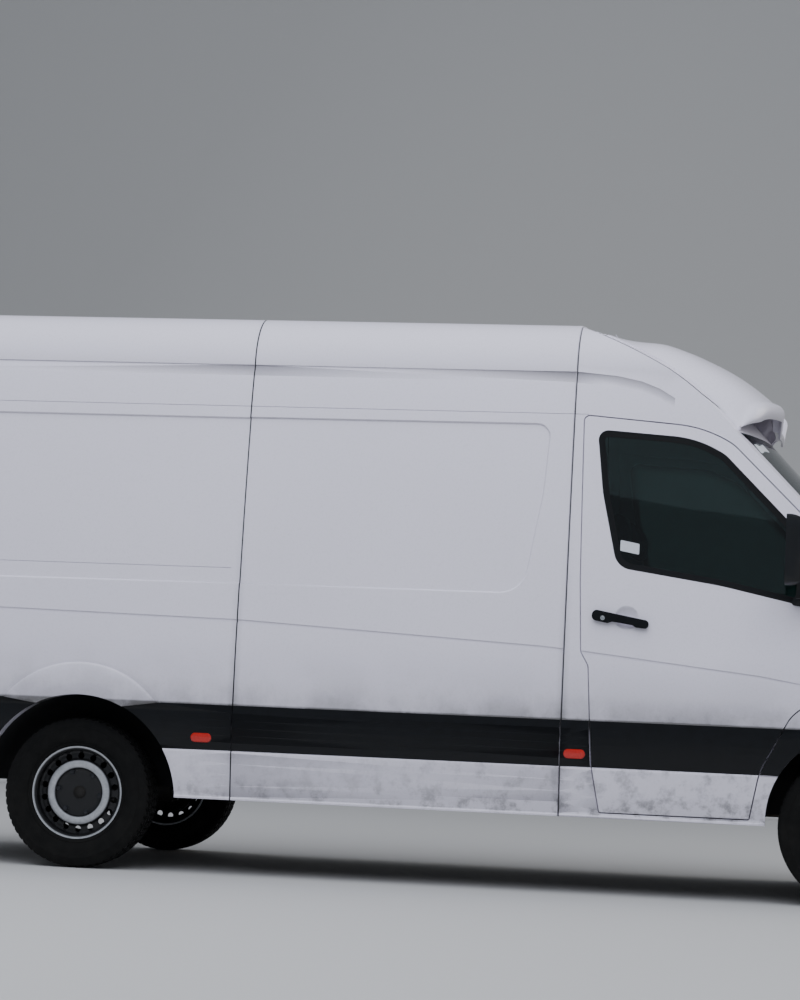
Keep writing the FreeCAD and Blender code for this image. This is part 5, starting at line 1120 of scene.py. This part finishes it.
@dataclass
class Trim:
    """Black plastic, lamps, glass and rubber of the outside."""

    surround: float = 0.030
    window: tuple[Point, ...] = (
        (0.704, 2.162, .045), (1.165, 2.133, .5), (1.302, 2.060, .15), (1.790, 1.570, .03), (1.790, 1.342, .04),
        (1.300, 1.445, 1.5), (0.822, 1.514, .09), (0.742, 1.860, .6),
    )
    reflectors: tuple[Pair, ...] = ((-1.108, 0.643), (0.660, 0.645))
    reflector_size: Pair = (0.100, 0.044)
    lock: Pair = (0.768, 1.277)
    lock_profile: tuple[Pair, ...] = (
        (0.0105, -0.003), (0.0105, 0.0012), (0.0095, 0.0020), (0.0055, 0.0016), (0.0045, 0.0004),
        (0.0008, 0.0004),
    )
    door_label: Quad = (0.878, 1.610, 0.088, 0.050)
    screen_label: tuple[Point, ...] = (
        (-0.790, 2.078, .004), (-0.607, 2.100, .004), (-0.594, 2.137, .004), (-0.764, 2.122, .004),
    )
    far: float = 4.0
    mirror_x: float = 1.6075
    mirror: tuple[Point, ...] = (
        (1.1915, 1.4685, .033), (1.0385, 1.4685, .033), (1.0445, 1.7585, .046), (1.1785, 1.7585, .056),
    )

    def build(self, shell: BodyShell) -> None:
        """Make the outer trim."""
        for name, finish in (("front_bumper", Finishes.STRIP), ("grille", Finishes.PLASTIC),
                             ("cowl", Finishes.PLASTIC), ("wipers", Finishes.SEAL),
                             ("rear_bumper", Finishes.PLASTIC)):
            shell.copy(name + "_moulding", name, finish, BASE, slot="trim")
        shell.copy("windscreen_pane", "windscreen", Finishes.GLASS, BASE, slot="glass")
        for side, sign in SIDES:
            body = "front_door_" + side
            shell.copy("door_glass_%s_pane" % side, "door_glass_" + side, Finishes.GLASS, body, slot="glass")
            shell.copy("door_mirror_%s_housing" % side, "door_mirror_" + side, Finishes.PLASTIC, body,
                       slot="trim", formed=False)
            self.window_seal(side, sign)
            self.lock_ring(side, sign)
            self.mirror_glass(side, sign)
            for i, (x, z) in enumerate(self.reflectors):
                self.reflector("side_reflector_%s_%d" % (side, i), x, z, sign)

        x, z, length, height = self.door_label
        corners = [(x - length / 2, z - height / 2 + .008, .004), (x + length / 2, z - height / 2 - .008, .004),
                   (x + length / 2, z + height / 2 - .008, .004), (x - length / 2, z + height / 2 + .008, .004)]
        self.label("door_glass_label", "door_glass_right", "front_door_right", rounded_outline(corners, 3),
                   False)
        self.label("windscreen_label", "windscreen", BASE, rounded_outline(self.screen_label, 3), True)

    def window_seal(self, side: str, sign: int) -> None:
        """Rubber round the door window, lying in the edge of the opening.

        Args:
            side: Name of the side.
            sign: -1 on the right and 1 on the left.
        """
        edge = rounded_outline(self.window, 10)
        work = bmesh.new()
        rings = []
        for inwards, depth in ((0.0, 0.0005), (0.002, -0.0015), (0.010, -0.0012),
                               (self.surround - 0.006, 0.0035), (self.surround, 0.0055)):
            points = offset_outline(edge, inwards)
            rings.append([work.verts.new((x, sign * (ENVELOPE.side_y(x, z) - depth), z)) for x, z in points])
        ring_faces(work, rings)
        for face in work.faces:
            face.normal_update()
        bmesh.ops.reverse_faces(work, faces=[f for f in work.faces if f.normal.y * sign < 0])
        made = new_object("window_seal_" + side, smooth_mesh("window_seal", work), [Finishes.SEAL.build()])
        fasten(made, "front_door_" + side)
        LOG.info("window_seal_%s", side)

    def lock_ring(self, side: str, sign: int) -> None:
        """Bright ring of the lock barrel, in the rear end of the door handle.

        Args:
            side: Name of the side.
            sign: -1 on the right and 1 on the left.
        """
        x, z = self.lock
        face = abs(first_hit("front_door_" + side, (x, self.far * sign, z), (0, -sign, 0)).y)
        rings = [[(x + radius * math.cos(a), sign * (face + out), z + radius * math.sin(a))
                  for a in full_turn(24)]
                 for radius, out in self.lock_profile]
        fasten(ringed("door_lock_ring_" + side, rings, Finishes.CHROME), "front_door_" + side)

    def mirror_glass(self, side: str, sign: int) -> None:
        """Silvered glass in the mirror housing's rear opening.

        Args:
            side: Name of the side.
            sign: -1 on the right and 1 on the left.
        """
        edge = rounded_outline(self.mirror, 6)
        rings = [[(self.mirror_x + ahead, sign * y, z) for y, z in offset_outline(edge, inwards)]
                 for inwards, ahead in ((0.0, 0.0045), (0.0, 0.0005), (0.002, 0.0))]
        fasten(ringed("mirror_glass_" + side, rings, Finishes.MIRROR), "front_door_" + side)

    def label(self, name: str, node_name: str, body: str, outline: list[Pair], ahead: bool) -> None:
        """Blank label stuck on the outside of a pane.

        Args:
            name: Name of the piece.
            node_name: CAD node of the pane.
            body: Body it rides on.
            outline: Its outline: along the van and up, or with ahead across the van and up.
            ahead: Whether the pane is looked at from ahead; otherwise from the right.
        """
        rings = []
        centre = (sum(u for u, _ in outline) / len(outline), sum(v for _, v in outline) / len(outline))
        for share, out in ((1.0, -0.0002), (1.0, 0.0008), (0.5, 0.0009), (0.02, 0.0009)):
            ring: list[Point] = []
            for edge_u, edge_v in outline:
                u, v = centre[0] + (edge_u - centre[0]) * share, centre[1] + (edge_v - centre[1]) * share
                if ahead:
                    ring.append((first_hit(node_name, (self.far, u, v), (-1, 0, 0)).x + out, u, v))
                else:
                    ring.append((u, first_hit(node_name, (u, -self.far, v), (0, 1, 0)).y - out, v))
            rings.append(ring)
        fasten(ringed(name, rings, Finishes.PAPER), body)

    def reflector(self, name: str, x: float, z: float, sign: int) -> None:
        """Oval red marker standing a little proud of the strip.

        Args:
            name: Name of the piece.
            x: Its middle along the van.
            z: Its middle height.
            sign: Side of the van.
        """
        rings = []
        for shrink, out in ((1.0, 0.003), (1.0, 0.009), (0.90, 0.013), (0.5, 0.0145)):
            w, h = (size / 2 * shrink for size in self.reflector_size)
            radius = h * .98
            outline = rounded_outline([(-w, -h, radius), (w, -h, radius), (w, h, radius), (-w, h, radius)], 6)
            rings.append([(x + u, sign * (ENVELOPE.side_y(x + u, z + v) + out), z + v) for u, v in outline])
        fasten(ringed(name, rings, Finishes.LENS_RED), BASE)


@dataclass
class Lamps:
    """Headlamps with their bowls, and the banded tail lamps."""

    bowls: tuple[Point, ...] = ((0.580, 0.880, 0.062), (0.735, 0.890, 0.055))
    bowl_depth: float = 0.040
    behind_lens: float = 0.012
    skin: float = 0.004
    ahead: float = 4.0
    least_facing: float = 0.2
    flank: float = 0.03
    bowl_profile: tuple[Pair, ...] = (
        (1.06, 0.02), (1.06, -0.05), (1.0, 0.0), (0.86, 0.34), (0.62, 0.70), (0.34, 0.95), (0.30, 0.72),
        (0.24, 0.42), (0.05, 0.36),
    )
    bands: tuple[Pair, ...] = ((1.030, 1.105), (1.105, 1.190))

    def build(self, shell: BodyShell) -> None:
        """Make the lamps.

        Args:
            shell: Maker of copies of CAD nodes.
        """
        lens = shell.copy("headlamp_lenses", "headlamps", Finishes.LENS, BASE, slot="lamp")
        lens.data.materials.append(Finishes.REFLECTOR.build())
        for face in lens.data.polygons:
            c = face.center
            front = first_hit("headlamps", (self.ahead, c.y, c.z), (-1, 0, 0))
            outer = face.normal.x > self.least_facing and front is not None and front.x - c.x < self.skin
            if not outer and abs(c.y) < ENVELOPE.side_y(c.x, c.z) - self.flank:
                face.material_index = 1
        for side, sign in SIDES:
            for i, (y, z, radius) in enumerate(self.bowls):
                self.bowl("headlamp_bowl_%s_%d" % (side, i), sign * y, z, radius)
        tail = shell.copy("tail_lamp_lenses", "tail_lamps", Finishes.LENS_RED, BASE, slot="lamp_red",
                          cuts=sorted({edge for band in self.bands for edge in band}))
        for number, finish in enumerate((Finishes.LENS_CLEAR, Finishes.LENS_AMBER), 1):
            tail.data.materials.append(finish.build())
            low, high = self.bands[number - 1]
            for face in tail.data.polygons:
                if low < face.center.z < high:
                    face.material_index = number

    def bowl(self, name: str, y: float, z: float, radius: float) -> None:
        """Bright bowl behind the headlamp lens, with its bulb shield.

        Args:
            name: Name of the piece.
            y: Its middle across the van.
            z: Its middle height.
            radius: Radius of its rim.
        """
        around = full_turn(32)
        rim = min(first_hit("headlamps", (self.ahead, y + radius * math.cos(a), z + radius * math.sin(a)),
                            (-1, 0, 0)).x
                  for a in around) - self.behind_lens
        rings = [[(rim - back * self.bowl_depth, y + radius * share * math.cos(a),
                   z + radius * share * math.sin(a))
                  for a in around] for share, back in self.bowl_profile]
        fasten(ringed(name, rings, Finishes.REFLECTOR, caps=(-1,)), BASE)


@dataclass
class Wheel:
    """One road wheel: pressed disc, tyre with tread blocks, and its bolts."""

    radius: float = 0.356
    groove: float = 0.007
    pitch: int = 60
    bolt_circle: float = 0.1025
    bolt_count: int = 6
    bolt_reach: float = 0.042
    bolt_profile: tuple[Pair, ...] = (
        (0.0155, -0.002), (0.0155, 0.004), (0.0115, 0.005), (0.0115, 0.016), (0.0085, 0.0185), (0.003, 0.0195),
    )
    turns: int = 96
    wall: tuple[Pair, ...] = (
        (0.2062, .079), (0.2205, .081), (0.2225, .092), (0.229, .0975), (0.236, .1015), (0.2385, .1005),
        (0.241, .104), (0.262, .1135), (0.285, .1175), (0.306, .1150), (0.3085, .1163), (0.311, .1140),
        (0.330, .1060), (0.340, .1005), (0.3475, .0935),
    )
    blocks: tuple[Point, ...] = (
        (0.0, 0.026, 0.80), (0.0405, 0.024, 0.84), (-0.0405, 0.024, 0.84), (0.0785, 0.026, 0.62),
        (-0.0785, 0.026, 0.62),
    )

    def profile(self) -> list[Pair]:
        """Tyre section as (radius, offset), from the outer bead over the tread to the inner bead."""
        low = self.radius - self.groove - 0.0015
        side = [*self.wall, (low, .0885), (low, .0)]
        return side + [(r, -o) for r, o in reversed(side[:-1])]

    def tyre(self, name: str, node_name: str, body: str, x: float, y: float, side: int) -> None:
        """Spin the tyre's section and set the tread blocks round it.

        Args:
            name: Name of the piece.
            node_name: CAD node it stands for.
            body: Body it rides on.
            x: Axle's place along the van.
            y: Middle of the wheel across the van.
            side: Which way is outwards.
        """
        work = bmesh.new()
        rings = []
        for radius, offset in self.profile():
            rings.append([work.verts.new((x + radius * math.cos(a), y + side * offset,
                                          self.radius + radius * math.sin(a)))
                          for a in full_turn(self.turns)])
        rings.append(rings[0])
        ring_faces(work, rings)
        carcass = object_from_bmesh(name + "_carcass", work, Finishes.TYRE, ROUND_ANGLE)
        work = bmesh.new()
        for row, (offset, wide, fill) in enumerate(self.blocks):
            self.block(work, side, offset, wide, fill, 0.5 * (row % 2) / self.pitch * 2 * math.pi)
        block = object_from_bmesh(name + "_block", work, Finishes.TYRE, ROUND_ANGLE)
        made = turned_copies(name, block, self.pitch, (x, y, self.radius), 0.0, Finishes.TYRE, carcass)
        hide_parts(node_name)
        fasten(made, body)
        LOG.info("%s: %d faces", name, len(made.data.polygons))

    def block(self, work: Work, side: int, offset: float, wide: float, fill: float, angle: float) -> None:
        """Add one tread block, drawn from the axle.

        Args:
            work: The mesh in work.
            side: Which way is outwards.
            offset: Middle of the block across the tread.
            wide: Its width.
            fill: Share of the pitch that it fills.
            angle: Its place round the tyre.
        """
        half_arc = math.pi / self.pitch * fill
        low, high = self.radius - self.groove - 0.003, self.radius - 0.0002
        drop = 0.0016 * (abs(offset) > 0.07) + 0.0004 * (abs(offset) > 0.03)
        skew = 0.10 * offset / 0.08
        corners = []
        for r, shrink in ((low, 1.06), (high - drop, 0.94)):
            for along, across in ((-1, -1), (1, -1), (1, 1), (-1, 1)):
                a = angle + along * half_arc * shrink + across * skew * 0.25
                edge = drop * 0.8 * (across * offset > 0) * (r > low)
                corners.append(work.verts.new(((r - edge) * math.cos(a),
                                               side * (offset + across * wide / 2 * shrink),
                                               (r - edge) * math.sin(a))))
        for quad in ((4, 5, 6, 7), (0, 1, 5, 4), (1, 2, 6, 5), (2, 3, 7, 6), (3, 0, 4, 7), (3, 2, 1, 0)):
            work.faces.new([corners[i] for i in quad])

    def bolts(self, name: str, body: str, x: float, y: float, side: int) -> None:
        """Six domed bolts round the hub.

        Args:
            name: Name of the piece.
            body: Body it rides on.
            x: Axle's place along the van.
            y: Plane of the bolt heads across the van.
            side: Which way is outwards.
        """
        rings = [[(self.bolt_circle + r * math.cos(a), side * out, r * math.sin(a)) for a in full_turn(12)]
                 for r, out in self.bolt_profile]
        head = ringed(name + "_head", rings, Finishes.ZINC)
        made = turned_copies(name, head, self.bolt_count, (x, y, self.radius), math.radians(8), Finishes.ZINC)
        fasten(made, body)


def turned_copies(name: str, part: Piece, count: int, centre: Point, start: float, finish: Finish,
                  core: Piece | None = None) -> Piece:
    """Turn copies of a mesh about a cross axis, by a node tree.

    Args:
        name: Name of the result.
        part: Object that is repeated, drawn from the axis; it is used up.
        count: Number of copies.
        centre: Place of the axis.
        start: Angle of the first copy.
        finish: Their finish.
        core: Object in place that the copies are joined to; it is used up.

    Returns:
        One plain mesh object.
    """
    tree = bpy.data.node_groups.new(name + "_tree", "GeometryNodeTree")
    tree.interface.new_socket("Geometry", in_out="OUTPUT", socket_type="NodeSocketGeometry")
    ids = {}
    for label, kind, value in (("Count", "NodeSocketInt", count),
                               ("Pitch angle", "NodeSocketFloat", 2 * math.pi / count),
                               ("First angle", "NodeSocketFloat", start),
                               ("Centre", "NodeSocketVector", centre), ("Part", "NodeSocketObject", part),
                               ("Core", "NodeSocketObject", core)):
        ids[tree.interface.new_socket(label, in_out="INPUT", socket_type=kind).identifier] = value
    given = node(tree, "NodeGroupInput").outputs
    places = node(tree, "GeometryNodeMeshLine", {"Count": given["Count"], "Offset": (0.0, 0.0, 0.0)})
    number = node(tree, "GeometryNodeInputIndex").outputs[0]
    turn = compute(tree, "MULTIPLY_ADD", number, given["Pitch angle"], given["First angle"])
    angles = node(tree, "ShaderNodeCombineXYZ", {"Y": turn}).outputs[0]
    shape = node(tree, "GeometryNodeObjectInfo", {"Object": given["Part"]}).outputs["Geometry"]
    copies = node(tree, "GeometryNodeInstanceOnPoints",
                  {"Points": places.outputs[0], "Instance": shape, "Rotation": angles})
    placed = node(tree, "GeometryNodeTransform",
                  {"Geometry": copies.outputs[0], "Translation": given["Centre"]})
    joined = node(tree, "GeometryNodeJoinGeometry", {0: placed.outputs[0]})
    whole = node(tree, "GeometryNodeObjectInfo", {"Object": given["Core"]}).outputs["Geometry"]
    tree.links.new(whole, joined.inputs[0])
    real = node(tree, "GeometryNodeRealizeInstances", {"Geometry": joined.outputs[0]})
    dressed = node(tree, "GeometryNodeSetMaterial", {"Geometry": real.outputs[0], "Material": finish.build()})
    node(tree, "NodeGroupOutput", {"Geometry": dressed.outputs[0]})
    holder = new_object(name, bpy.data.meshes.new(name), [])
    modifier = holder.modifiers.new("copies", "NODES")
    modifier.node_group = tree
    for identifier, value in ids.items():
        if value is not None:
            modifier[identifier] = value
    bake(holder)
    holder.data.set_sharp_from_angle(angle=math.radians(ROUND_ANGLE))
    for used in (part, core):
        if used is not None:
            bpy.data.objects.remove(used)
    return holder


@dataclass
class RunningGear:
    """Wheels, brakes, axles and everything under the floor."""

    track_y: float = 0.855
    axles: tuple[tuple[str, float], ...] = (("front", 1.951), ("rear", -1.714))
    wheel: Wheel = field(default_factory=Wheel)

    def build(self, shell: BodyShell) -> None:
        """Make the wheels and dress the underbody."""
        for end, x in self.axles:
            finish = Finishes.FRONT_WHEEL if end == "front" else Finishes.REAR_WHEEL
            for side, sign in SIDES:
                body = "wheel_%s_%s" % (end, side)
                key = "%s_%s" % (end, side)
                shell.copy("rim_%s_disc" % key, "rim_" + key, finish, body, slot="steel", formed=False,
                           angle=ROUND_ANGLE)
                self.wheel.tyre("tyre_%s_tread" % key, "tyre_" + key, body, x, sign * self.track_y, sign)
                self.wheel.bolts("wheel_bolts_" + key, body, x, sign * (self.track_y + self.wheel.bolt_reach),
                                 sign)
        under = {
            "engine": Finishes.IRON, "cooling_pack": Finishes.FINS, "chassis_rails": Finishes.CHASSIS,
            "rear_axle": Finishes.CHASSIS, "propshaft": Finishes.CHASSIS, "rear_springs": Finishes.CHASSIS,
            "front_suspension": Finishes.CHASSIS, "spare_wheel": Finishes.TYRE, "fuel_tank": Finishes.TANK,
            "exhaust": Finishes.EXHAUST, "wheel_arch_liners": Finishes.PLASTIC,
        }
        for name, finish in under.items():
            shell.copy(name + "_piece", name, finish, BASE, slot="chassis", formed=False, angle=ROUND_ANGLE)
        for side, _ in SIDES:
            shell.copy("steering_knuckle_%s_piece" % side, "steering_knuckle_" + side, Finishes.CHASSIS,
                       "knuckle_" + side, slot="chassis", formed=False, angle=ROUND_ANGLE)


@dataclass
class Cab:
    """Seats, dash and linings."""

    voxel: float = 0.012
    shrink: float = 0.010
    pressure: float = 4.0
    cap: float = 0.022
    frames: int = 20
    channel_depth: float = 0.009
    channel_half: float = 0.014
    back_channels: tuple[float, ...] = (1.18, 1.40)
    cushion_channels: tuple[float, ...] = (1.03, 1.20)

    def build(self, shell: BodyShell) -> None:
        """Make the inside."""
        inner = {"dashboard": Finishes.DASH, "seat_frames": Finishes.PLASTIC, "cab_floor": Finishes.FLOOR_MAT,
                 "load_floor": Finishes.PLY, "bulkhead": Finishes.WALL}
        for name, finish in inner.items():
            shell.copy(name + "_piece", name, finish, BASE, slot="lining", formed=False)
        shell.copy("steering_wheel_grip", "steering_wheel", Finishes.GRIP, "steering_wheel", slot="trim",
                   formed=False, angle=40)
        for name in ("seat_cushions", "seat_backs"):
            self.padded(name)

    def padded(self, node_name: str) -> None:
        """Swell each padded solid of a node by cloth pressure.

        Args:
            node_name: CAD node whose solids are padding.
        """
        source = FRAME["nodes"][node_name]
        work = bmesh.new()
        work.from_mesh(source.data)
        bmesh.ops.remove_doubles(work, verts=work.verts, dist=MERGE)
        bmesh.ops.recalc_face_normals(work, faces=work.faces)
        for vertex in work.verts:
            vertex.co -= vertex.normal * self.shrink
        mesh = smooth_mesh(node_name + "_padding", work)
        made = new_object(node_name + "_padding", mesh, [Finishes.CLOTH.build()])
        remesh = made.modifiers.new("remesh", "REMESH")
        remesh.mode = "VOXEL"
        remesh.voxel_size = self.voxel
        bake(made)
        self.swell(made)
        finer = made.modifiers.new("smooth", "SUBSURF")
        finer.levels = finer.render_levels = 1
        bake(made)
        self.sew(made, node_name)
        made.data.shade_smooth()
        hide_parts(node_name)
        fasten(made, BASE)
        LOG.info("%s: %d faces", made.name, len(made.data.polygons))

    def swell(self, made: Piece) -> None:
        """Blow the padding up a little and keep it within its cap.

        Args:
            made: The remeshed padding.
        """
        rest = np.array([v.co[:] for v in made.data.vertices])
        cloth = made.modifiers.new("cloth", "CLOTH")
        cloth.settings.use_pressure = True
        cloth.settings.uniform_pressure_force = self.pressure
        cloth.settings.effector_weights.gravity = 0
        scene = bpy.context.scene
        for number in range(1, self.frames + 1):
            scene.frame_set(number)
        graph = bpy.context.evaluated_depsgraph_get()
        swollen = np.array([v.co[:] for v in made.evaluated_get(graph).data.vertices])
        made.modifiers.clear()
        scene.frame_set(1)
        shift = swollen - rest
        length = np.linalg.norm(shift, axis=1)[:, None] + 1e-9
        capped = rest + shift / length * np.minimum(length, self.cap)
        for vertex, place in zip(made.data.vertices, capped):
            vertex.co = Vector(place)
        made.data.update()

    def sew(self, made: Piece, node_name: str) -> None:
        """Press the sewn channels into the padding, across the seat.

        Args:
            made: The swollen padding.
            node_name: CAD node it stands for.
        """
        upright = node_name == "seat_backs"
        for vertex in made.data.vertices:
            along = vertex.co.z if upright else vertex.co.x
            facing = vertex.normal.x if upright else vertex.normal.z
            for line in self.back_channels if upright else self.cushion_channels:
                away = abs(along - line) / self.channel_half
                if away < 1 and facing > 0.5:
                    depth = self.channel_depth * (0.5 + 0.5 * math.cos(math.pi * away))
                    vertex.co -= Vector((depth, 0, 0)) if upright else Vector((0, 0, depth))
        made.data.update()


@dataclass
class Studio:
    """Pale floor, soft light and the camera at the photograph's angle."""

    eye: Point = (1.963, -13.614, 0.872)
    yaw: float = 9.74
    pitch: float = 4.12
    roll: float = 2.4
    lens: float = 98.5
    floor_depth: float = 40.0
    floor_half: float = 60.0
    bend_y: float = 9.0
    bend: float = 5.0
    lowered: float = 0.0005
    aim: Point = (0.0, 0.0, 1.0)

    def build(self) -> None:
        """Set the stage."""
        self.floor()
        self.lights()
        self.camera()

    def floor(self) -> None:
        """Pale floor that curves up behind the van."""
        work = bmesh.new()
        depth = [(-self.floor_depth, 0.0), (self.bend_y, 0.0)]
        for k in range(13):
            angle = math.pi / 2 * k / 12
            depth.append((self.bend_y + self.bend * math.sin(angle), self.bend - self.bend * math.cos(angle)))
        depth.append((self.bend_y + self.bend, self.floor_depth))
        rows = [[work.verts.new((x, y, z - self.lowered)) for y, z in depth]
                for x in (-self.floor_half, self.floor_half)]
        grid_faces(work, rows)
        new_object("studio_floor", smooth_mesh("studio_floor", work), [Finishes.STUDIO.build()])

    def lights(self) -> None:
        """Soft overcast light from above, a little stronger from the front right."""
        world = bpy.data.worlds.new("studio_air")
        bpy.context.scene.world = world
        world.use_nodes = True
        air = world.node_tree.nodes["Background"].inputs
        air["Color"].default_value = linear("#c4ccd8")
        air["Strength"].default_value = 0.55
        for name, place, size, power, tint in (("sky_panel", (0, -5.5, 9.0), 14.0, 1500.0, "#e8ecf6"),
                                               ("rear_panel", (-9.0, 4.0, 7.0), 8.0, 350.0, "#e8ecf6"),
                                               ("front_panel", (9.0, 3.0, 6.0), 8.0, 350.0, "#f1eee8")):
            light = bpy.data.lights.new(name, "AREA")
            light.shape = "DISK"
            light.size = size
            light.energy = power
            light.color = linear(tint)[:3]
            lamp = bpy.data.objects.new(name, light)
            bpy.context.scene.collection.objects.link(lamp)
            lamp.location = place
            lamp.rotation_euler = (Vector(self.aim) - Vector(place)).to_track_quat("-Z", "Y").to_euler()
            # The broad panel stays out of reflections, so that the dark cab shows through the glass.
            lamp.visible_glossy = name != "sky_panel"

    def camera(self) -> None:
        """Camera at the photograph's place, found from the van's known sizes."""
        yaw, pitch, roll = (math.radians(a) for a in (self.yaw, self.pitch, self.roll))
        ahead = Vector((-math.sin(yaw) * math.cos(pitch), math.cos(yaw) * math.cos(pitch), math.sin(pitch)))
        right = Vector((math.cos(yaw), math.sin(yaw), 0))
        up = right.cross(ahead)
        right, up = (right * math.cos(roll) + up * math.sin(roll), up * math.cos(roll) - right * math.sin(roll))
        data = bpy.data.cameras.new("photo_camera")
        data.sensor_fit = "VERTICAL"
        data.sensor_height = 36.0
        data.lens = self.lens
        data.clip_end = 200.0
        camera = bpy.data.objects.new("photo_camera", data)
        bpy.context.scene.collection.objects.link(camera)
        matrix = Matrix((right, up, -ahead)).transposed().to_4x4()
        matrix.translation = Vector(self.eye)
        camera.matrix_world = matrix
        bpy.context.scene.camera = camera


def main() -> None:
    """Build the van's looks."""
    logging.basicConfig(level=logging.INFO, format="%(message)s")
    FRAME.update(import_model())
    shell = BodyShell()
    shell.build()
    Trim().build(shell)
    Lamps().build(shell)
    RunningGear().build(shell)
    Cab().build(shell)
    Studio().build()


if __name__ == "__main__":
    main()
